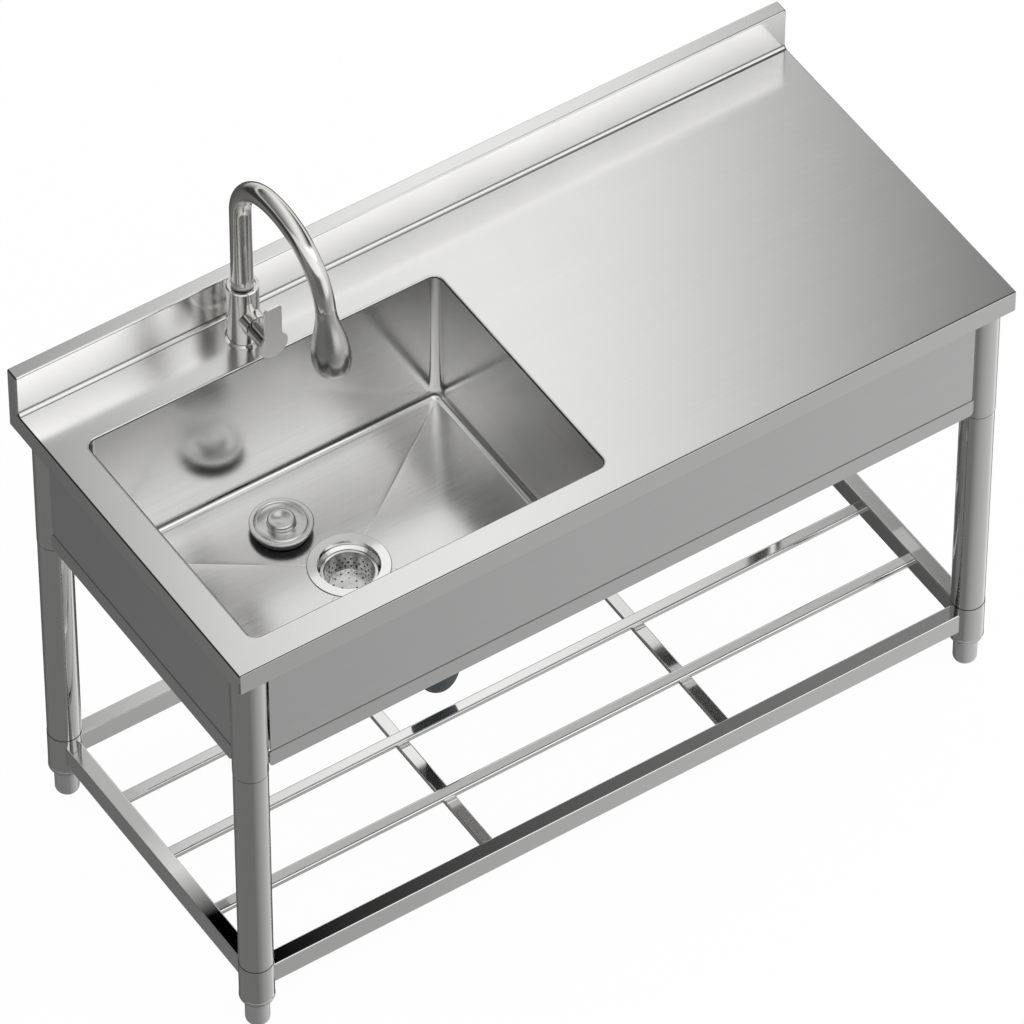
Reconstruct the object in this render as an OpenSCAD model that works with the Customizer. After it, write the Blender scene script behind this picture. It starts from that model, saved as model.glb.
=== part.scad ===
// Free-standing stainless steel kitchen sink unit with one bowl, a slatted shelf and a pull-out tap.
// The origin is on the floor under the centre of the unit. X runs along the unit, -Y is its front.
// All lengths are in millimetres.

/* [Unit] */
// Length along the front
unit_l = 1300; // [1250:10:1500]
// Depth from front to back
unit_w = 600; // [590:5:640]
// Height of the worktop above the floor
unit_h = 800; // [780:5:900]
// Thickness of the worktop sheet
sheet_t = 1.5; // [1.2:0.1:2]
// Height of the folded edge of the worktop
edge_h = 38; // [34:1:44]
// Width of the inturned lip under the folded edge
edge_lip = 5; // [4:0.5:6]
// Outer radius of the folds of the worktop
edge_r = 3; // [2:0.5:4]
// Height of the upstand above the worktop
splash_h = 76; // [60:1:120]
// Thickness of the upstand from front to back
splash_t = 24; // [20:1:25]

/* [Bowl] */
// Inside length of the bowl
bowl_l = 586; // [560:1:590]
// Distance from the left edge of the unit to the bowl
bowl_left = 51.5; // [51:0.5:60]
// Distance from the front edge of the unit to the bowl
bowl_front = 46.5; // [46:0.5:50]
// Distance from the bowl to the back edge of the unit, with the ledge for the tap
bowl_back = 118.5; // [117.5:0.5:130]
// Depth of the bowl at its walls
bowl_depth = 253; // [200:1:280]
// Radius of the upright corners of the bowl
bowl_corner_r = 16; // [15:0.5:24]
// Radius between the walls and the floor of the bowl
bowl_floor_r = 12; // [8:0.5:14]
// Thickness of the bowl sheet
bowl_t = 1.2; // [1:0.1:1.5]
// Fall of the bowl floor from the walls to the drain
floor_fall = 6; // [4:0.5:9]
// Distance of the drain from the middle of the bowl, to the right
drain_aside = 11.5; // [-12:0.5:24]
// Distance of the drain from the middle of the bowl, to the back
drain_behind = 16; // [0:0.5:20]

/* [Aprons and stiffeners] */
// Thickness of the apron sheets
apron_t = 1.5; // [1.2:0.1:2]
// Setback of an apron face behind the axis plane of the legs, towards the outside
apron_out = 16.8; // [16:0.1:18]
// Height of an apron
apron_h = 238.5; // [200:0.5:260]
// Height of the folded strip along the lower edge of an apron
hem_h = 30.7; // [20:0.1:40]
// Extra thickness of the folded strip
hem_t = 1; // [0.5:0.1:1.5]
// Radius of the lower corners of the folded strip
hem_r = 6.5; // [4:0.5:8]
// Amount that the strip is wider than the face at each end
hem_side = 2; // [1:0.5:3]
// Width of the upper flange of an apron
flange_top_w = 8; // [6:0.5:8]
// Width of the lower flange of an apron
flange_foot_w = 20; // [12:1:20]
// Shortening of the flanges at each end to clear the legs
flange_side = 8; // [7:0.5:12]
// Height of a stiffener channel
stiff_h = 25; // [15:1:30]
// Width of the web of a stiffener channel
stiff_w = 50; // [40:1:60]
// Width of each glued flange of a stiffener channel
stiff_flange = 14; // [10:1:20]
// Gap between the bowl and the stiffener channels
stiff_gap = 24; // [20:1:40]

/* [Legs] */
// Distance of the leg axes from the ends of the unit
leg_side = 33.9; // [33:0.1:36]
// Distance of the front leg axes from the front of the unit
leg_front = 33.3; // [33:0.1:36]
// Distance of the back leg axes from the back of the unit
leg_back = 52.3; // [51:0.1:60]
// Radius of the top section and of the sleeve of a leg
socket_r = 25.9; // [25.5:0.1:26]
// Radius of the leg tube
leg_r = 25.4; // [25:0.1:25.5]
// Wall of the leg tubes
leg_wall = 1.2; // [1:0.1:1.5]
// Height of the seam under the top section
seam_top_z = 550; // [500:1:560]
// Height of the seam above the sleeve
seam_foot_z = 133.5; // [125:0.5:150]
// Height of the lower end of the sleeve
sleeve_z = 63; // [62:0.5:66]
// Half length of the spigots inside the leg seams
spigot_half = 30; // [20:1:40]

/* [Feet] */
// Radius of the rim of a foot collar
collar_r = 26.25; // [26:0.05:27]
// Height of the lower face of a foot collar
collar_z = 55; // [54:0.5:56]
// Radius of the rounded rim of a foot collar
collar_round = 4; // [2:0.5:4]
// Height of the foot collar inside the leg
collar_h = 45; // [42:1:60]
// Radius of a foot
foot_r = 18.2; // [16:0.1:19]
// Height of the thick part of a foot
foot_h = 62; // [60:0.5:63]
// Radius of the rounded lower edge of a foot
foot_round = 10; // [6:0.5:12]
// Radius of the threaded stem of a foot
stem_r = 7.95; // [6:0.05:10]
// Length of the threaded stem above the thick part
stem_l = 55; // [50:1:60]

/* [Shelf] */
// Width of the shelf rails
rail_w = 25; // [20:0.5:30]
// Height of the shelf rails
rail_h = 38; // [30:0.5:40]
// Height of the lower face of the rails above the floor
rail_z = 80.5; // [78:0.5:84]
// Wall of the rails, slats and bars
rail_wall = 1.5; // [1.2:0.1:2]
// Outer corner radius of the rails
rail_r = 2; // [1:0.5:3]
// Width of a slat
slat_w = 20; // [18:0.5:24]
// Height of a slat
slat_h = 10; // [8:0.5:12]
// Outer corner radius of the slats
slat_r = 3.5; // [2:0.5:4]
// Spacing of the slats
slat_pitch = 124; // [100:1:130]
// Distance of the middle slat from the front of the unit
slat_mid = 290.5; // [285:0.5:300]
// Width of a cross bar
bar_w = 20; // [16:0.5:24]
// Height of a cross bar
bar_h = 8; // [8:0.5:10]
// Distance of a cross bar from the middle of the unit
bar_x = 205; // [180:1:240]
// Height of the underside of the cross bars above the underside of the rails
bar_lift = 3.5; // [2:0.5:6]

/* [Drain] */
// Radius of the drain flange
drain_flange_r = 59.5; // [56:0.5:61]
// Thickness of the drain flange
drain_flange_t = 2.5; // [2:0.1:3]
// Inner radius of the drain throat
throat_r = 45.5; // [44:0.5:46]
// Wall of the drain body
drain_wall = 2; // [1.5:0.1:2]
// Depth of the straight throat below the flange top
throat_h = 9; // [8:0.5:11]
// Depth of the basket seat below the flange top
basket_seat = 15.5; // [15:0.5:18]
// Inner radius of the drain cup under the seat
cup_r = 38.9; // [38.5:0.1:39]
// Depth of the drain cup below the flange top
cup_h = 50; // [48:1:60]
// Inner radius of the drain outlet
outlet_r = 16; // [14:0.5:17]
// Depth of the top of the drain outlet pipe below the flange top
outlet_z = 62; // [60:1:75]
// Length of the drain outlet pipe
outlet_l = 22; // [18:1:28]
// Radius of the lock nut under the bowl
lock_r = 60; // [56:0.5:62]
// Height of the lock nut under the bowl
lock_h = 10; // [8:0.5:14]
// Thickness of the gasket under the bowl
gasket_t = 3; // [2:0.5:4]

/* [Strainer basket] */
// Radius of the rim of the basket
basket_rim_r = 40.3; // [40:0.1:40.5]
// Radius of the basket below its rim
basket_top_r = 38; // [37:0.1:38]
// Radius of the bottom of the basket
basket_foot_r = 30; // [28:0.5:32]
// Height of the basket
basket_h = 28; // [24:0.5:30]
// Wall of the basket
basket_t = 1; // [0.8:0.1:1.2]
// Radius of the holes in the basket
basket_hole_r = 1.5; // [1:0.1:1.8]
// Number of columns of holes round the basket
basket_columns = 24; // [16:2:28]
// Number of rows of holes round the basket
basket_rows = 3; // [2:1:3]
// Spacing of the rows of holes
basket_row_pitch = 6; // [5:0.5:7]
// Radius of the inner ring of holes in the bottom
basket_ring_r = 12; // [10:0.5:13]
// Radius of the outer ring of holes in the bottom
basket_ring2_r = 22.5; // [20:0.5:24]

/* [Stopper] */
// Distance of the stopper from the drain along the unit, to the left
stopper_left = 44; // [0:1:100]
// Distance of the stopper from the drain towards the back
stopper_back = 108; // [90:1:110]
// Radius of the stopper cap
cap_r = 46.5; // [40:0.5:47]
// Thickness of the stopper cap
cap_t = 3; // [2:0.5:4]
// Height of the underside of the cap above the foot of the stopper
cap_lift = 12; // [10:0.5:14]
// Radius of the dished centre of the cap
dish_r = 33; // [28:0.5:36]
// Depth of the dished centre
dish_h = 1.2; // [0.8:0.1:1.8]
// Radius of the knob at its foot
knob_r = 20.5; // [16:0.5:21]
// Radius of the flat top of the knob
knob_top_r = 18; // [14:0.5:18]
// Height of the knob above the dish
knob_h = 8; // [6:0.5:10]
// Radius of the rubber seal under the cap
seal_r = 45; // [36:0.5:45]
// Radius of the rubber seal at its foot
seal_foot_r = 41; // [30:0.5:42]

/* [Waste] */
// Radius of the pipe of the tail elbow
elbow_r = 19; // [18:0.5:20]
// Wall of the tail elbow
elbow_wall = 3; // [2.5:0.5:3.5]
// Height of the axis of the elbow outlet above the floor
elbow_z = 440; // [430:1:450]
// Reach of the elbow outlet shoulder from the drain axis
elbow_reach = 28; // [26:0.5:30]
// Direction of the elbow outlet, from +X towards the back
elbow_turn = 16; // [0:0.5:30]
// Radius of the spigot inside the hose
nipple_r = 12; // [10:0.5:12]
// Length of the spigot inside the hose
nipple_l = 20; // [14:1:22]
// Wall of the spigot inside the hose
nipple_wall = 2; // [1.5:0.5:3]
// Radius of the union nut
union_r = 27; // [25:0.5:28]
// Height of the union nut
union_h = 16; // [12:1:20]
// Outer radius of the waste hose
hose_r = 16; // [16:1:16]
// Radius in the valleys between the ribs
hose_valley_r = 14.4; // [14.2:0.1:14.8]
// Radius of the corners of the hose bore
hose_bore_r = 13.5; // [13.2:0.1:13.6]
// Spacing of the ribs
rib_pitch = 5; // [4:0.5:8]
// Length of the plain cuff at each end of the hose
cuff_l = 22; // [20:1:26]
// Width of the hose clamp
clamp_w = 9; // [6:0.5:12]
// Thickness of the hose clamp
clamp_t = 1.2; // [0.8:0.1:1.6]
// Radius of the end plug at its top
plug_r = 36.5; // [34:0.5:42]
// Height of the end plug
plug_h = 60; // [56:1:64]
// Depth of the hose socket in the end plug
plug_socket = 24; // [20:1:30]
// Wall of the end plug
plug_wall = 5; // [4:0.5:6]

/* [Tap body] */
// Distance of the tap axis from the left edge of the unit
tap_left = 345; // [330:1:370]
// Distance of the tap axis from the back of the unit
tap_back = 70; // [64:1:72]
// Radius of the hole for the tap
tap_hole_r = 17.5; // [17:0.1:18]
// Radius of the base ring
ring_r = 27; // [25:0.5:28]
// Height of the base ring
ring_h = 4.5; // [3:0.5:6]
// Radius of the tap body
tap_r = 23.5; // [23:0.5:24]
// Height of the tap body above the worktop
tap_h = 108; // [104:1:116]
// Chamfer at the top of the tap body
tap_chamfer = 1.5; // [1:0.1:2]
// Radius of the water way through the tap body
way_r = 13.5; // [12:0.5:14]
// Height of the lever hub above the worktop
hub_z = 54; // [50:1:56]
// Radius of the lever hub
hub_r = 18; // [17.5:0.5:18]
// Distance of the seam of the hub from the tap axis
hub_l = 38; // [36:1:40]
// Distance of the tilt pivot of the lever beyond the seam
pivot_out = 6; // [6:0.1:7]
// Length of the lever sleeve beyond the pivot
sleeve_l = 33; // [30:1:36]
// Radius of the cartridge
cart_r = 12; // [11:0.5:12]
// Length of the cartridge
cart_l = 13; // [12:0.5:13]
// Radius of the threaded shank under the tap
shank_r = 16; // [15:0.5:16]
// Length of the threaded shank below the worktop
shank_l = 45; // [40:1:60]
// Radius of the washer under the worktop
washer_r = 24; // [22:0.5:24]
// Thickness of the washer under the worktop
washer_t = 4; // [3:0.5:6]
// Radius of the nut under the worktop across its corners
tap_nut_r = 23.5; // [21:0.5:24]
// Height of the nut under the worktop
tap_nut_h = 10; // [8:0.5:14]
// Radius of the two inlet holes in the shank
inlet_r = 4.5; // [4:0.1:5]
// Distance of the inlet holes from the shank axis
inlet_off = 7.5; // [7:0.1:8]
// Depth of the inlet holes
inlet_l = 20; // [15:1:30]

/* [Lever] */
// Radius of the round end of the paddle
paddle_r = 23; // [21:0.5:24]
// Width of the tongue of the paddle
tongue_w = 28; // [26:1:30]
// Height of the tongue above the hub axis
tongue_h = 75; // [60:1:80]
// Corner radius of the tongue
tongue_r = 6; // [4:0.5:10]
// Radius of the hollow where the tongue leaves the round end
hollow_r = 6; // [4:0.5:8]
// Thickness of the paddle
paddle_t = 3.5; // [3:0.5:5]
// Angle that the lever lifts through
lever_tilt = 20; // [16:1:22]
// Radius of the lever spindle
spindle_r = 3.7; // [3.5:0.1:3.8]
// Width of the eye of the spindle
eye_w = 7.6; // [7:0.1:7.6]
// Radius of the eye of the spindle
eye_r = 5; // [4.5:0.1:5.5]
// Radius of the tilt pin
pin_r = 2; // [1.5:0.1:2]
// Half length of the tilt pin
pin_half = 16.4; // [14:0.1:16.5]

/* [Neck and spray] */
// Radius of the neck tube
neck_r = 16.2; // [15.5:0.1:16.5]
// Wall of the neck tube
neck_wall = 2.2; // [1.5:0.1:2.5]
// Step by which the neck narrows at the start of each bend
neck_step = 0.3; // [0.2:0.1:0.5]
// Length of the neck inside the tap body
neck_in = 28; // [24:1:30]
// Wall of the neck bush
bush_wall = 3; // [2.5:0.5:3.5]
// Depth of the bush below the top of the tap body
bush_drop = 3; // [2:0.5:4]
// Height above the worktop at which the neck starts to bend
bend_z = 257; // [240:1:270]
// Radius of the first part of the bend
bend_r1 = 80; // [76:0.5:84]
// Angle of the first part of the bend
bend_a1 = 80; // [75:1:85]
// Radius of the second part of the bend
bend_r2 = 118.5; // [112:0.5:124]
// Tilt of the spray head from the upright
head_tilt = 8.5; // [6:0.5:11]
// Turn of the neck at rest, from straight ahead to the right
neck_turn = 2.5; // [0:0.5:5]
// Length of the spray head
head_l = 112; // [105:1:120]
// Radius of the spray head at the seam
head_top_r = 14.8; // [14.5:0.1:15.5]
// Largest radius of the spray head
head_max_r = 28.5; // [26:0.5:30]
// Radius of the spray head round its face
head_face_r = 20; // [19:0.5:22]
// Distance of the largest radius from the seam, as a share of the length
head_max_share = 0.77; // [0.7:0.01:0.8]
// Radius of the spray face
face_r = 16.5; // [15:0.5:17]
// Thickness of the spray face
face_t = 4; // [3:0.5:5]
// Radius of the nozzles of the spray face
nozzle_r = 0.8; // [0.6:0.1:1]
// Radius of the spray hose
spray_hose_r = 6.5; // [6:0.5:7]
// Length of the spray hose stub above the seam
spray_hose_up = 38; // [34:1:40]
// Depth of the spray hose stub in the head
spray_hose_in = 30; // [20:1:40]

/* [Hidden] */
$fn = 96;

// Overrun of every cut past the faces that it opens
cut = 1;
// Gap between pieces that move or that are only laid together
loose = 0.3;
// Radial gap of a running fit
run = 0.05;
// Radial gap of a piece pressed or screwed into place
snug = 0.02;
// Steps in a millimetre to which the aprons are cut
tenths = 10;
// Gap between a coped rail end and the leg sleeve, filled by the weld
weld = 0.1;

// Places of the corners, as signs along X and Y
FL = [-1, -1];
FR = [1, -1];
BL = [-1, 1];
BR = [1, 1];

left_x = -unit_l / 2;
front_y = -unit_w / 2;
back_y = unit_w / 2;
under_z = unit_h - sheet_t;
edge_z = unit_h - edge_h;

leg_x = unit_l / 2 - leg_side;
leg_front_y = front_y + leg_front;
leg_back_y = back_y - leg_back;

bowl_w = unit_w - bowl_front - bowl_back;
bowl_x = left_x + bowl_left + bowl_l / 2;
bowl_y = front_y + bowl_front + bowl_w / 2;
drain_x = bowl_x + drain_aside;
drain_y = bowl_y + drain_behind;
// Height of the flat seat of the drain in the bowl floor
seat_z = unit_h - bowl_depth - floor_fall;
drain_top_z = seat_z + drain_flange_t;
// Gap between the drain and the hole in the bowl
drain_gap = 0.5;
drain_out_r = throat_r + drain_wall;
seat_r = drain_flange_r + loose;

// Distance from the drain to the back wall of the bowl, over which the floor falls
back_run = bowl_w / 2 - drain_behind;

tap_x = left_x + tap_left;
tap_y = back_y - tap_back;
hub_height = unit_h + hub_z;
pivot_y = tap_y - hub_l - pivot_out;
sleeve_sphere_r = hub_r + loose;
way_in_r = neck_r + bush_wall;
neck_foot_z = unit_h + tap_h - neck_in;

// Flat faces of the nuts
hex_sides = 6;
// Sides of the small drilled holes
hole_sides = 24;
// Nozzles in the first ring of the spray face, and of each step outwards
ring_nozzles = 6;
// A quarter of a turn, in degrees
quarter = 90;
// Places of the two stiffener channels, as shares of the depth of the unit in front of and behind its middle
stiff_front_share = 0.2;
stiff_back_share = 0.14;
// Part of the cartridge that stays closed behind the spindle
cart_end_share = 1 / 3;
// Place of the clamp along the spigot of the elbow
clamp_share = 1 / 3;
// Part of the step round the stopper knob that its slope takes
knob_slope_share = 1 / 3;
// Part of the end plug that is cut off flat at its tip
plug_tip_share = 0.02;
// Distance over which the heading of the hose is taken, as a share of the rib spacing
probe_share = 0.1;

// Route of the waste hose in the upright plane of the elbow outlet:
// distance from the drain axis and height above the floor, from the elbow to the end plug
hose_route = [
  [28, 440], [44, 440], [60, 440], [92, 436], [122, 423], [148, 402.5], [168, 376], [180, 345],
  [184, 312], [184, 290], [184, 265], [184, 240], [184, 215], [184, 200], [184, 184], [184, 168], [184, 152]
];
hose_sides = 8;
// Spacing of the rings of the hose bore
bore_step = 10;

steel = [0.78, 0.78, 0.77];
dark_steel = [0.62, 0.62, 0.62];
bright = [0.86, 0.86, 0.86];
black = [0.08, 0.08, 0.08];
nylon = [0.9, 0.9, 0.88];

// Outlines

// A rectangle with rounded corners, centred
module rounded(w, d, r) {
  union() {
    square([w - 2 * r, d], center = true);
    square([w, d - 2 * r], center = true);
    for (x = [-1, 1], y = [-1, 1])
      translate([x * (w / 2 - r), y * (d / 2 - r)]) circle(r = r);
  }
}

// A length cut down to a whole tenth of a millimetre
function cut_to_tenth(length) = floor(length * tenths) / tenths;

// A rectangle on the X axis, with its two upper corners rounded
module top_rounded(w, h, r) {
  union() {
    translate([-w / 2, 0]) square([w, h - r]);
    translate([-w / 2 + r, 0]) square([w - 2 * r, h]);
    for (x = [-1, 1]) translate([x * (w / 2 - r), h - r]) circle(r = r);
  }
}

// A rectangle below the X axis, with its two lower corners rounded
module foot_rounded(w, h, r) {
  mirror([0, 1]) top_rounded(w, h, r);
}

// Stands an outline up and extrudes it along Y, to both sides of the XZ plane
module along_y(length) {
  rotate([90, 0, 0]) linear_extrude(height = length, center = true) children();
}

// Stands an outline up and extrudes it along X, to both sides of the YZ plane
module along_x(length) {
  rotate([90, 0, 90]) linear_extrude(height = length, center = true) children();
}

// A pipe along Z
module pipe(r, wall, h) {
  difference() {
    cylinder(r = r, h = h);
    translate([0, 0, -cut]) cylinder(r = r - wall, h = h + 2 * cut);
  }
}

// A ring along Z, given by its two radii
module ring(outer, inner, h) {
  pipe(outer, outer - inner, h);
}

module at_leg(corner) {
  translate([corner.x * leg_x, corner.y < 0 ? leg_front_y : leg_back_y, 0]) children();
}

// Worktop and bowl

// Outline of the bowl in plan, grown outwards by g
module bowl_plan(g) {
  translate([bowl_x, bowl_y]) rounded(bowl_l + 2 * g, bowl_w + 2 * g, bowl_corner_r + g);
}

// Upright section of the bowl below the X axis: the walls, the rounded foot and the falling floor
module bowl_section(width, low_at, g, above) {
  union() {
    foot_rounded(width + 2 * g, bowl_depth + g, bowl_floor_r + g);
    polygon([
      [-width / 2 + bowl_floor_r, -bowl_depth - g],
      [low_at, -bowl_depth - floor_fall - g],
      [width / 2 - bowl_floor_r, -bowl_depth - g],
      [low_at, -bowl_depth + bowl_floor_r]
    ]);
    translate([-width / 2 - g, -bowl_floor_r]) square([width + 2 * g, bowl_floor_r + above]);
  }
}

// The space inside the bowl for g = 0, and its outer body for g = the sheet thickness
module bowl_form(g, above) {
  intersection() {
    translate([0, 0, seat_z - g - cut])
      linear_extrude(height = bowl_depth + floor_fall + g + above + cut) bowl_plan(g);
    translate([bowl_x, 0, unit_h]) along_y(2 * unit_w) bowl_section(bowl_l, drain_x - bowl_x, g, above);
    translate([0, bowl_y, unit_h]) along_x(2 * unit_l) bowl_section(bowl_w, drain_y - bowl_y, g, above);
  }
}

module sink_bowl() {
  color(steel) difference() {
    union() {
      bowl_form(bowl_t, -sheet_t);
      translate([drain_x, drain_y, seat_z - bowl_t]) cylinder(r = seat_r + bowl_t, h = bowl_t);
    }
    bowl_form(0, cut);
    translate([drain_x, drain_y, seat_z]) cylinder(r = seat_r, h = floor_fall);
    translate([drain_x, drain_y, seat_z - bowl_t - cut])
      cylinder(r = drain_out_r + drain_gap, h = bowl_t + 2 * cut);
  }
}

module worktop() {
  color(steel) difference() {
    intersection() {
      union() {
        intersection() {
          translate([0, 0, edge_z]) along_y(unit_w) top_rounded(unit_l, edge_h, edge_r);
          translate([0, 0, edge_z]) along_x(unit_l) top_rounded(unit_w, edge_h, edge_r);
        }
        intersection() {
          translate([0, back_y - splash_t / 2, edge_z])
            along_y(splash_t) top_rounded(unit_l, edge_h + splash_h, edge_r);
          translate([0, back_y - splash_t / 2, edge_z])
            along_x(unit_l) top_rounded(splash_t, edge_h + splash_h, edge_r);
        }
      }
      translate([0, 0, edge_z - cut])
        linear_extrude(height = edge_h + splash_h + 2 * cut) rounded(unit_l, unit_w, edge_r);
    }
    translate([left_x + sheet_t, front_y + sheet_t, edge_z + sheet_t])
      cube([unit_l - 2 * sheet_t, unit_w - 2 * sheet_t, edge_h - 2 * sheet_t]);
    translate([left_x + edge_lip, front_y + edge_lip, edge_z - cut])
      cube([unit_l - 2 * edge_lip, unit_w - edge_lip - sheet_t, sheet_t + 2 * cut]);
    translate([left_x + sheet_t, back_y - splash_t + sheet_t, under_z - cut])
      cube([unit_l - 2 * sheet_t, splash_t - 2 * sheet_t, splash_h + cut]);
    translate([0, 0, under_z - cut]) linear_extrude(height = sheet_t + 2 * cut) bowl_plan(0);
    translate([tap_x, tap_y, under_z - cut]) cylinder(r = tap_hole_r, h = sheet_t + 2 * cut);
  }
}

// Hat channels glued under the drainboard half, between the bowl and the right legs
module top_stiffeners() {
  start_x = left_x + bowl_left + bowl_l + stiff_gap;
  length = leg_x - socket_r - start_x;
  span = 2 * stiff_flange + stiff_w;
  for (share = [-stiff_front_share, stiff_back_share])
    color(dark_steel) translate([start_x + length / 2, share * unit_w, under_z - stiff_h]) difference() {
      union() {
        translate([0, 0, stiff_h / 2]) cube([length, stiff_w, stiff_h], center = true);
        translate([0, 0, stiff_h - sheet_t / 2]) cube([length, span, sheet_t], center = true);
      }
      translate([0, 0, stiff_h / 2 + sheet_t])
        cube([length + 2 * cut, stiff_w - 2 * sheet_t, stiff_h], center = true);
    }
}

// Aprons

// An apron seen from outside, standing on Z = 0 with its outer face at Y = 0 and its flanges towards +Y
module apron(half) {
  face_half = half - hem_side;
  flange_half = half - flange_side;
  face_foot = hem_h / 2;
  union() {
    translate([-face_half, 0, face_foot]) cube([2 * face_half, apron_t, apron_h - face_foot]);
    translate([0, (apron_t - hem_t) / 2, hem_h])
      along_y(apron_t + hem_t) foot_rounded(2 * half, hem_h, hem_r);
    translate([-flange_half, 0, apron_h - apron_t]) cube([2 * flange_half, flange_top_w, apron_t]);
    translate([-flange_half, 0, 0]) cube([2 * flange_half, flange_foot_w, apron_t]);
  }
}

// Half width of an apron between two legs, just clear of their round sides and cut to a whole tenth
clear_half = sqrt(socket_r * socket_r - pow(apron_out - apron_t, 2)) + loose;
apron_z = under_z - apron_h;
side_mid_y = (leg_front_y + leg_back_y) / 2;
side_half = cut_to_tenth((leg_back_y - leg_front_y) / 2 - clear_half);
front_half = cut_to_tenth(leg_x - clear_half);

module front_apron() {
  color(steel) translate([0, leg_front_y - apron_out, apron_z]) apron(front_half);
}

module back_apron() {
  color(steel) translate([0, leg_back_y + apron_out, apron_z]) rotate([0, 0, 180]) apron(front_half);
}

module left_apron() {
  color(steel) translate([-leg_x - apron_out, side_mid_y, apron_z]) rotate([0, 0, -90]) apron(side_half);
}

module right_apron() {
  color(steel) translate([leg_x + apron_out, side_mid_y, apron_z]) rotate([0, 0, 90]) apron(side_half);
}

// Legs

module leg_top(corner) {
  color(bright) at_leg(corner) translate([0, 0, seam_top_z]) pipe(socket_r, leg_wall, under_z - seam_top_z);
}

module leg_tube(corner) {
  color(bright) at_leg(corner) translate([0, 0, seam_foot_z]) pipe(leg_r, leg_wall, seam_top_z - seam_foot_z);
}

module leg_sleeve(corner) {
  color(bright) at_leg(corner) translate([0, 0, sleeve_z]) pipe(socket_r, leg_wall, seam_foot_z - sleeve_z);
}

module leg_spigots() {
  spigot_r = leg_r - leg_wall - snug;
  for (corner = [FL, FR, BL, BR], z = [seam_top_z, seam_foot_z])
    color(dark_steel) at_leg(corner)
      translate([0, 0, z - spigot_half]) pipe(spigot_r, leg_wall, 2 * spigot_half);
}

// Each collar closes its sleeve, guides the foot and holds the thread of its stem
module foot_collars() {
  inside_r = socket_r - leg_wall - snug;
  guide_r = foot_r + loose;
  guide_h = foot_h - collar_z + 2 * collar_round + foot_round;
  rim_h = sleeve_z - collar_z;
  for (corner = [FL, FR, BL, BR])
    color(dark_steel) at_leg(corner) translate([0, 0, collar_z]) difference() {
      union() {
        rotate_extrude() union() {
          square([collar_r - collar_round, rim_h]);
          translate([0, collar_round]) square([collar_r, rim_h - collar_round]);
          translate([collar_r - collar_round, collar_round]) circle(r = collar_round);
        }
        cylinder(r = inside_r, h = collar_h);
      }
      translate([0, 0, -cut]) cylinder(r = guide_r, h = guide_h + cut);
      cylinder(r = stem_r + run, h = collar_h + cut);
    }
}

module foot(corner) {
  color(bright) at_leg(corner) union() {
    rotate_extrude() union() {
      square([foot_r - foot_round, foot_h]);
      translate([0, foot_round]) square([foot_r, foot_h - foot_round]);
      intersection() {
        translate([foot_r - foot_round, foot_round]) circle(r = foot_round);
        square([foot_r, foot_h]);
      }
    }
    cylinder(r = stem_r, h = foot_h + stem_l);
  }
}

// Shelf

// A rectangular tube along X, centred in X and Y and standing on Z = 0
module box_tube_x(length, w, h, r) {
  translate([0, 0, h / 2]) along_x(length) difference() {
    rounded(w, h, r);
    square([w - 2 * rail_wall, h - 2 * rail_wall], center = true);
  }
}

module cope(corner) {
  at_leg(corner) translate([0, 0, sleeve_z]) cylinder(r = socket_r + weld, h = seam_foot_z);
}

module front_rail() {
  color(bright) difference() {
    translate([0, leg_front_y, rail_z]) box_tube_x(2 * leg_x, rail_w, rail_h, rail_r);
    cope(FL);
    cope(FR);
  }
}

module back_rail() {
  color(bright) difference() {
    translate([0, leg_back_y, rail_z]) box_tube_x(2 * leg_x, rail_w, rail_h, rail_r);
    cope(BL);
    cope(BR);
  }
}

module side_rail(side) {
  translate([side * leg_x, side_mid_y, rail_z]) rotate([0, 0, 90])
    box_tube_x(leg_back_y - leg_front_y, rail_w, rail_h, rail_r);
}

module left_rail() {
  color(bright) difference() {
    side_rail(-1);
    cope(FL);
    cope(BL);
  }
}

module right_rail() {
  color(bright) difference() {
    side_rail(1);
    cope(FR);
    cope(BR);
  }
}

// A slat lies on the cross bars and butts against the side rails
module slat(step) {
  color(bright) translate([0, front_y + slat_mid + step * slat_pitch, rail_z + bar_lift + bar_h])
    box_tube_x(2 * leg_x - rail_w, slat_w, slat_h, slat_r);
}

module cross_bar(side) {
  length = leg_back_y - leg_front_y - rail_w;
  color(bright) translate([side * bar_x, side_mid_y, rail_z + bar_lift]) rotate([0, 0, 90])
    box_tube_x(length, bar_w, bar_h, rail_r);
}

// Drain

module at_drain(z) {
  translate([drain_x, drain_y, z]) children();
}

// Flange, throat, basket seat, cup and outlet pipe in one turned section
module drain_body() {
  neck_out = outlet_r + drain_wall;
  color(bright) at_drain(drain_top_z) rotate_extrude() polygon([
    [throat_r, 0],
    [drain_flange_r, 0],
    [drain_flange_r, -drain_flange_t],
    [drain_out_r, -drain_flange_t],
    [drain_out_r, -basket_seat - drain_flange_t],
    [cup_r + drain_wall, -basket_seat - drain_wall - drain_flange_t - gasket_t - lock_h],
    [cup_r + drain_wall, -cup_h - drain_wall],
    [neck_out, -outlet_z],
    [neck_out, -outlet_z - outlet_l],
    [outlet_r, -outlet_z - outlet_l],
    [outlet_r, -outlet_z],
    [cup_r, -cup_h],
    [cup_r, -basket_seat],
    [basket_rim_r + loose, -basket_seat],
    [basket_rim_r + 2 * loose, -basket_seat + drain_flange_t],
    [throat_r, -throat_h]
  ]);
}

module drain_gasket() {
  color(black) at_drain(seat_z - bowl_t - gasket_t) ring(seat_r, drain_out_r + loose, gasket_t);
}

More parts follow.
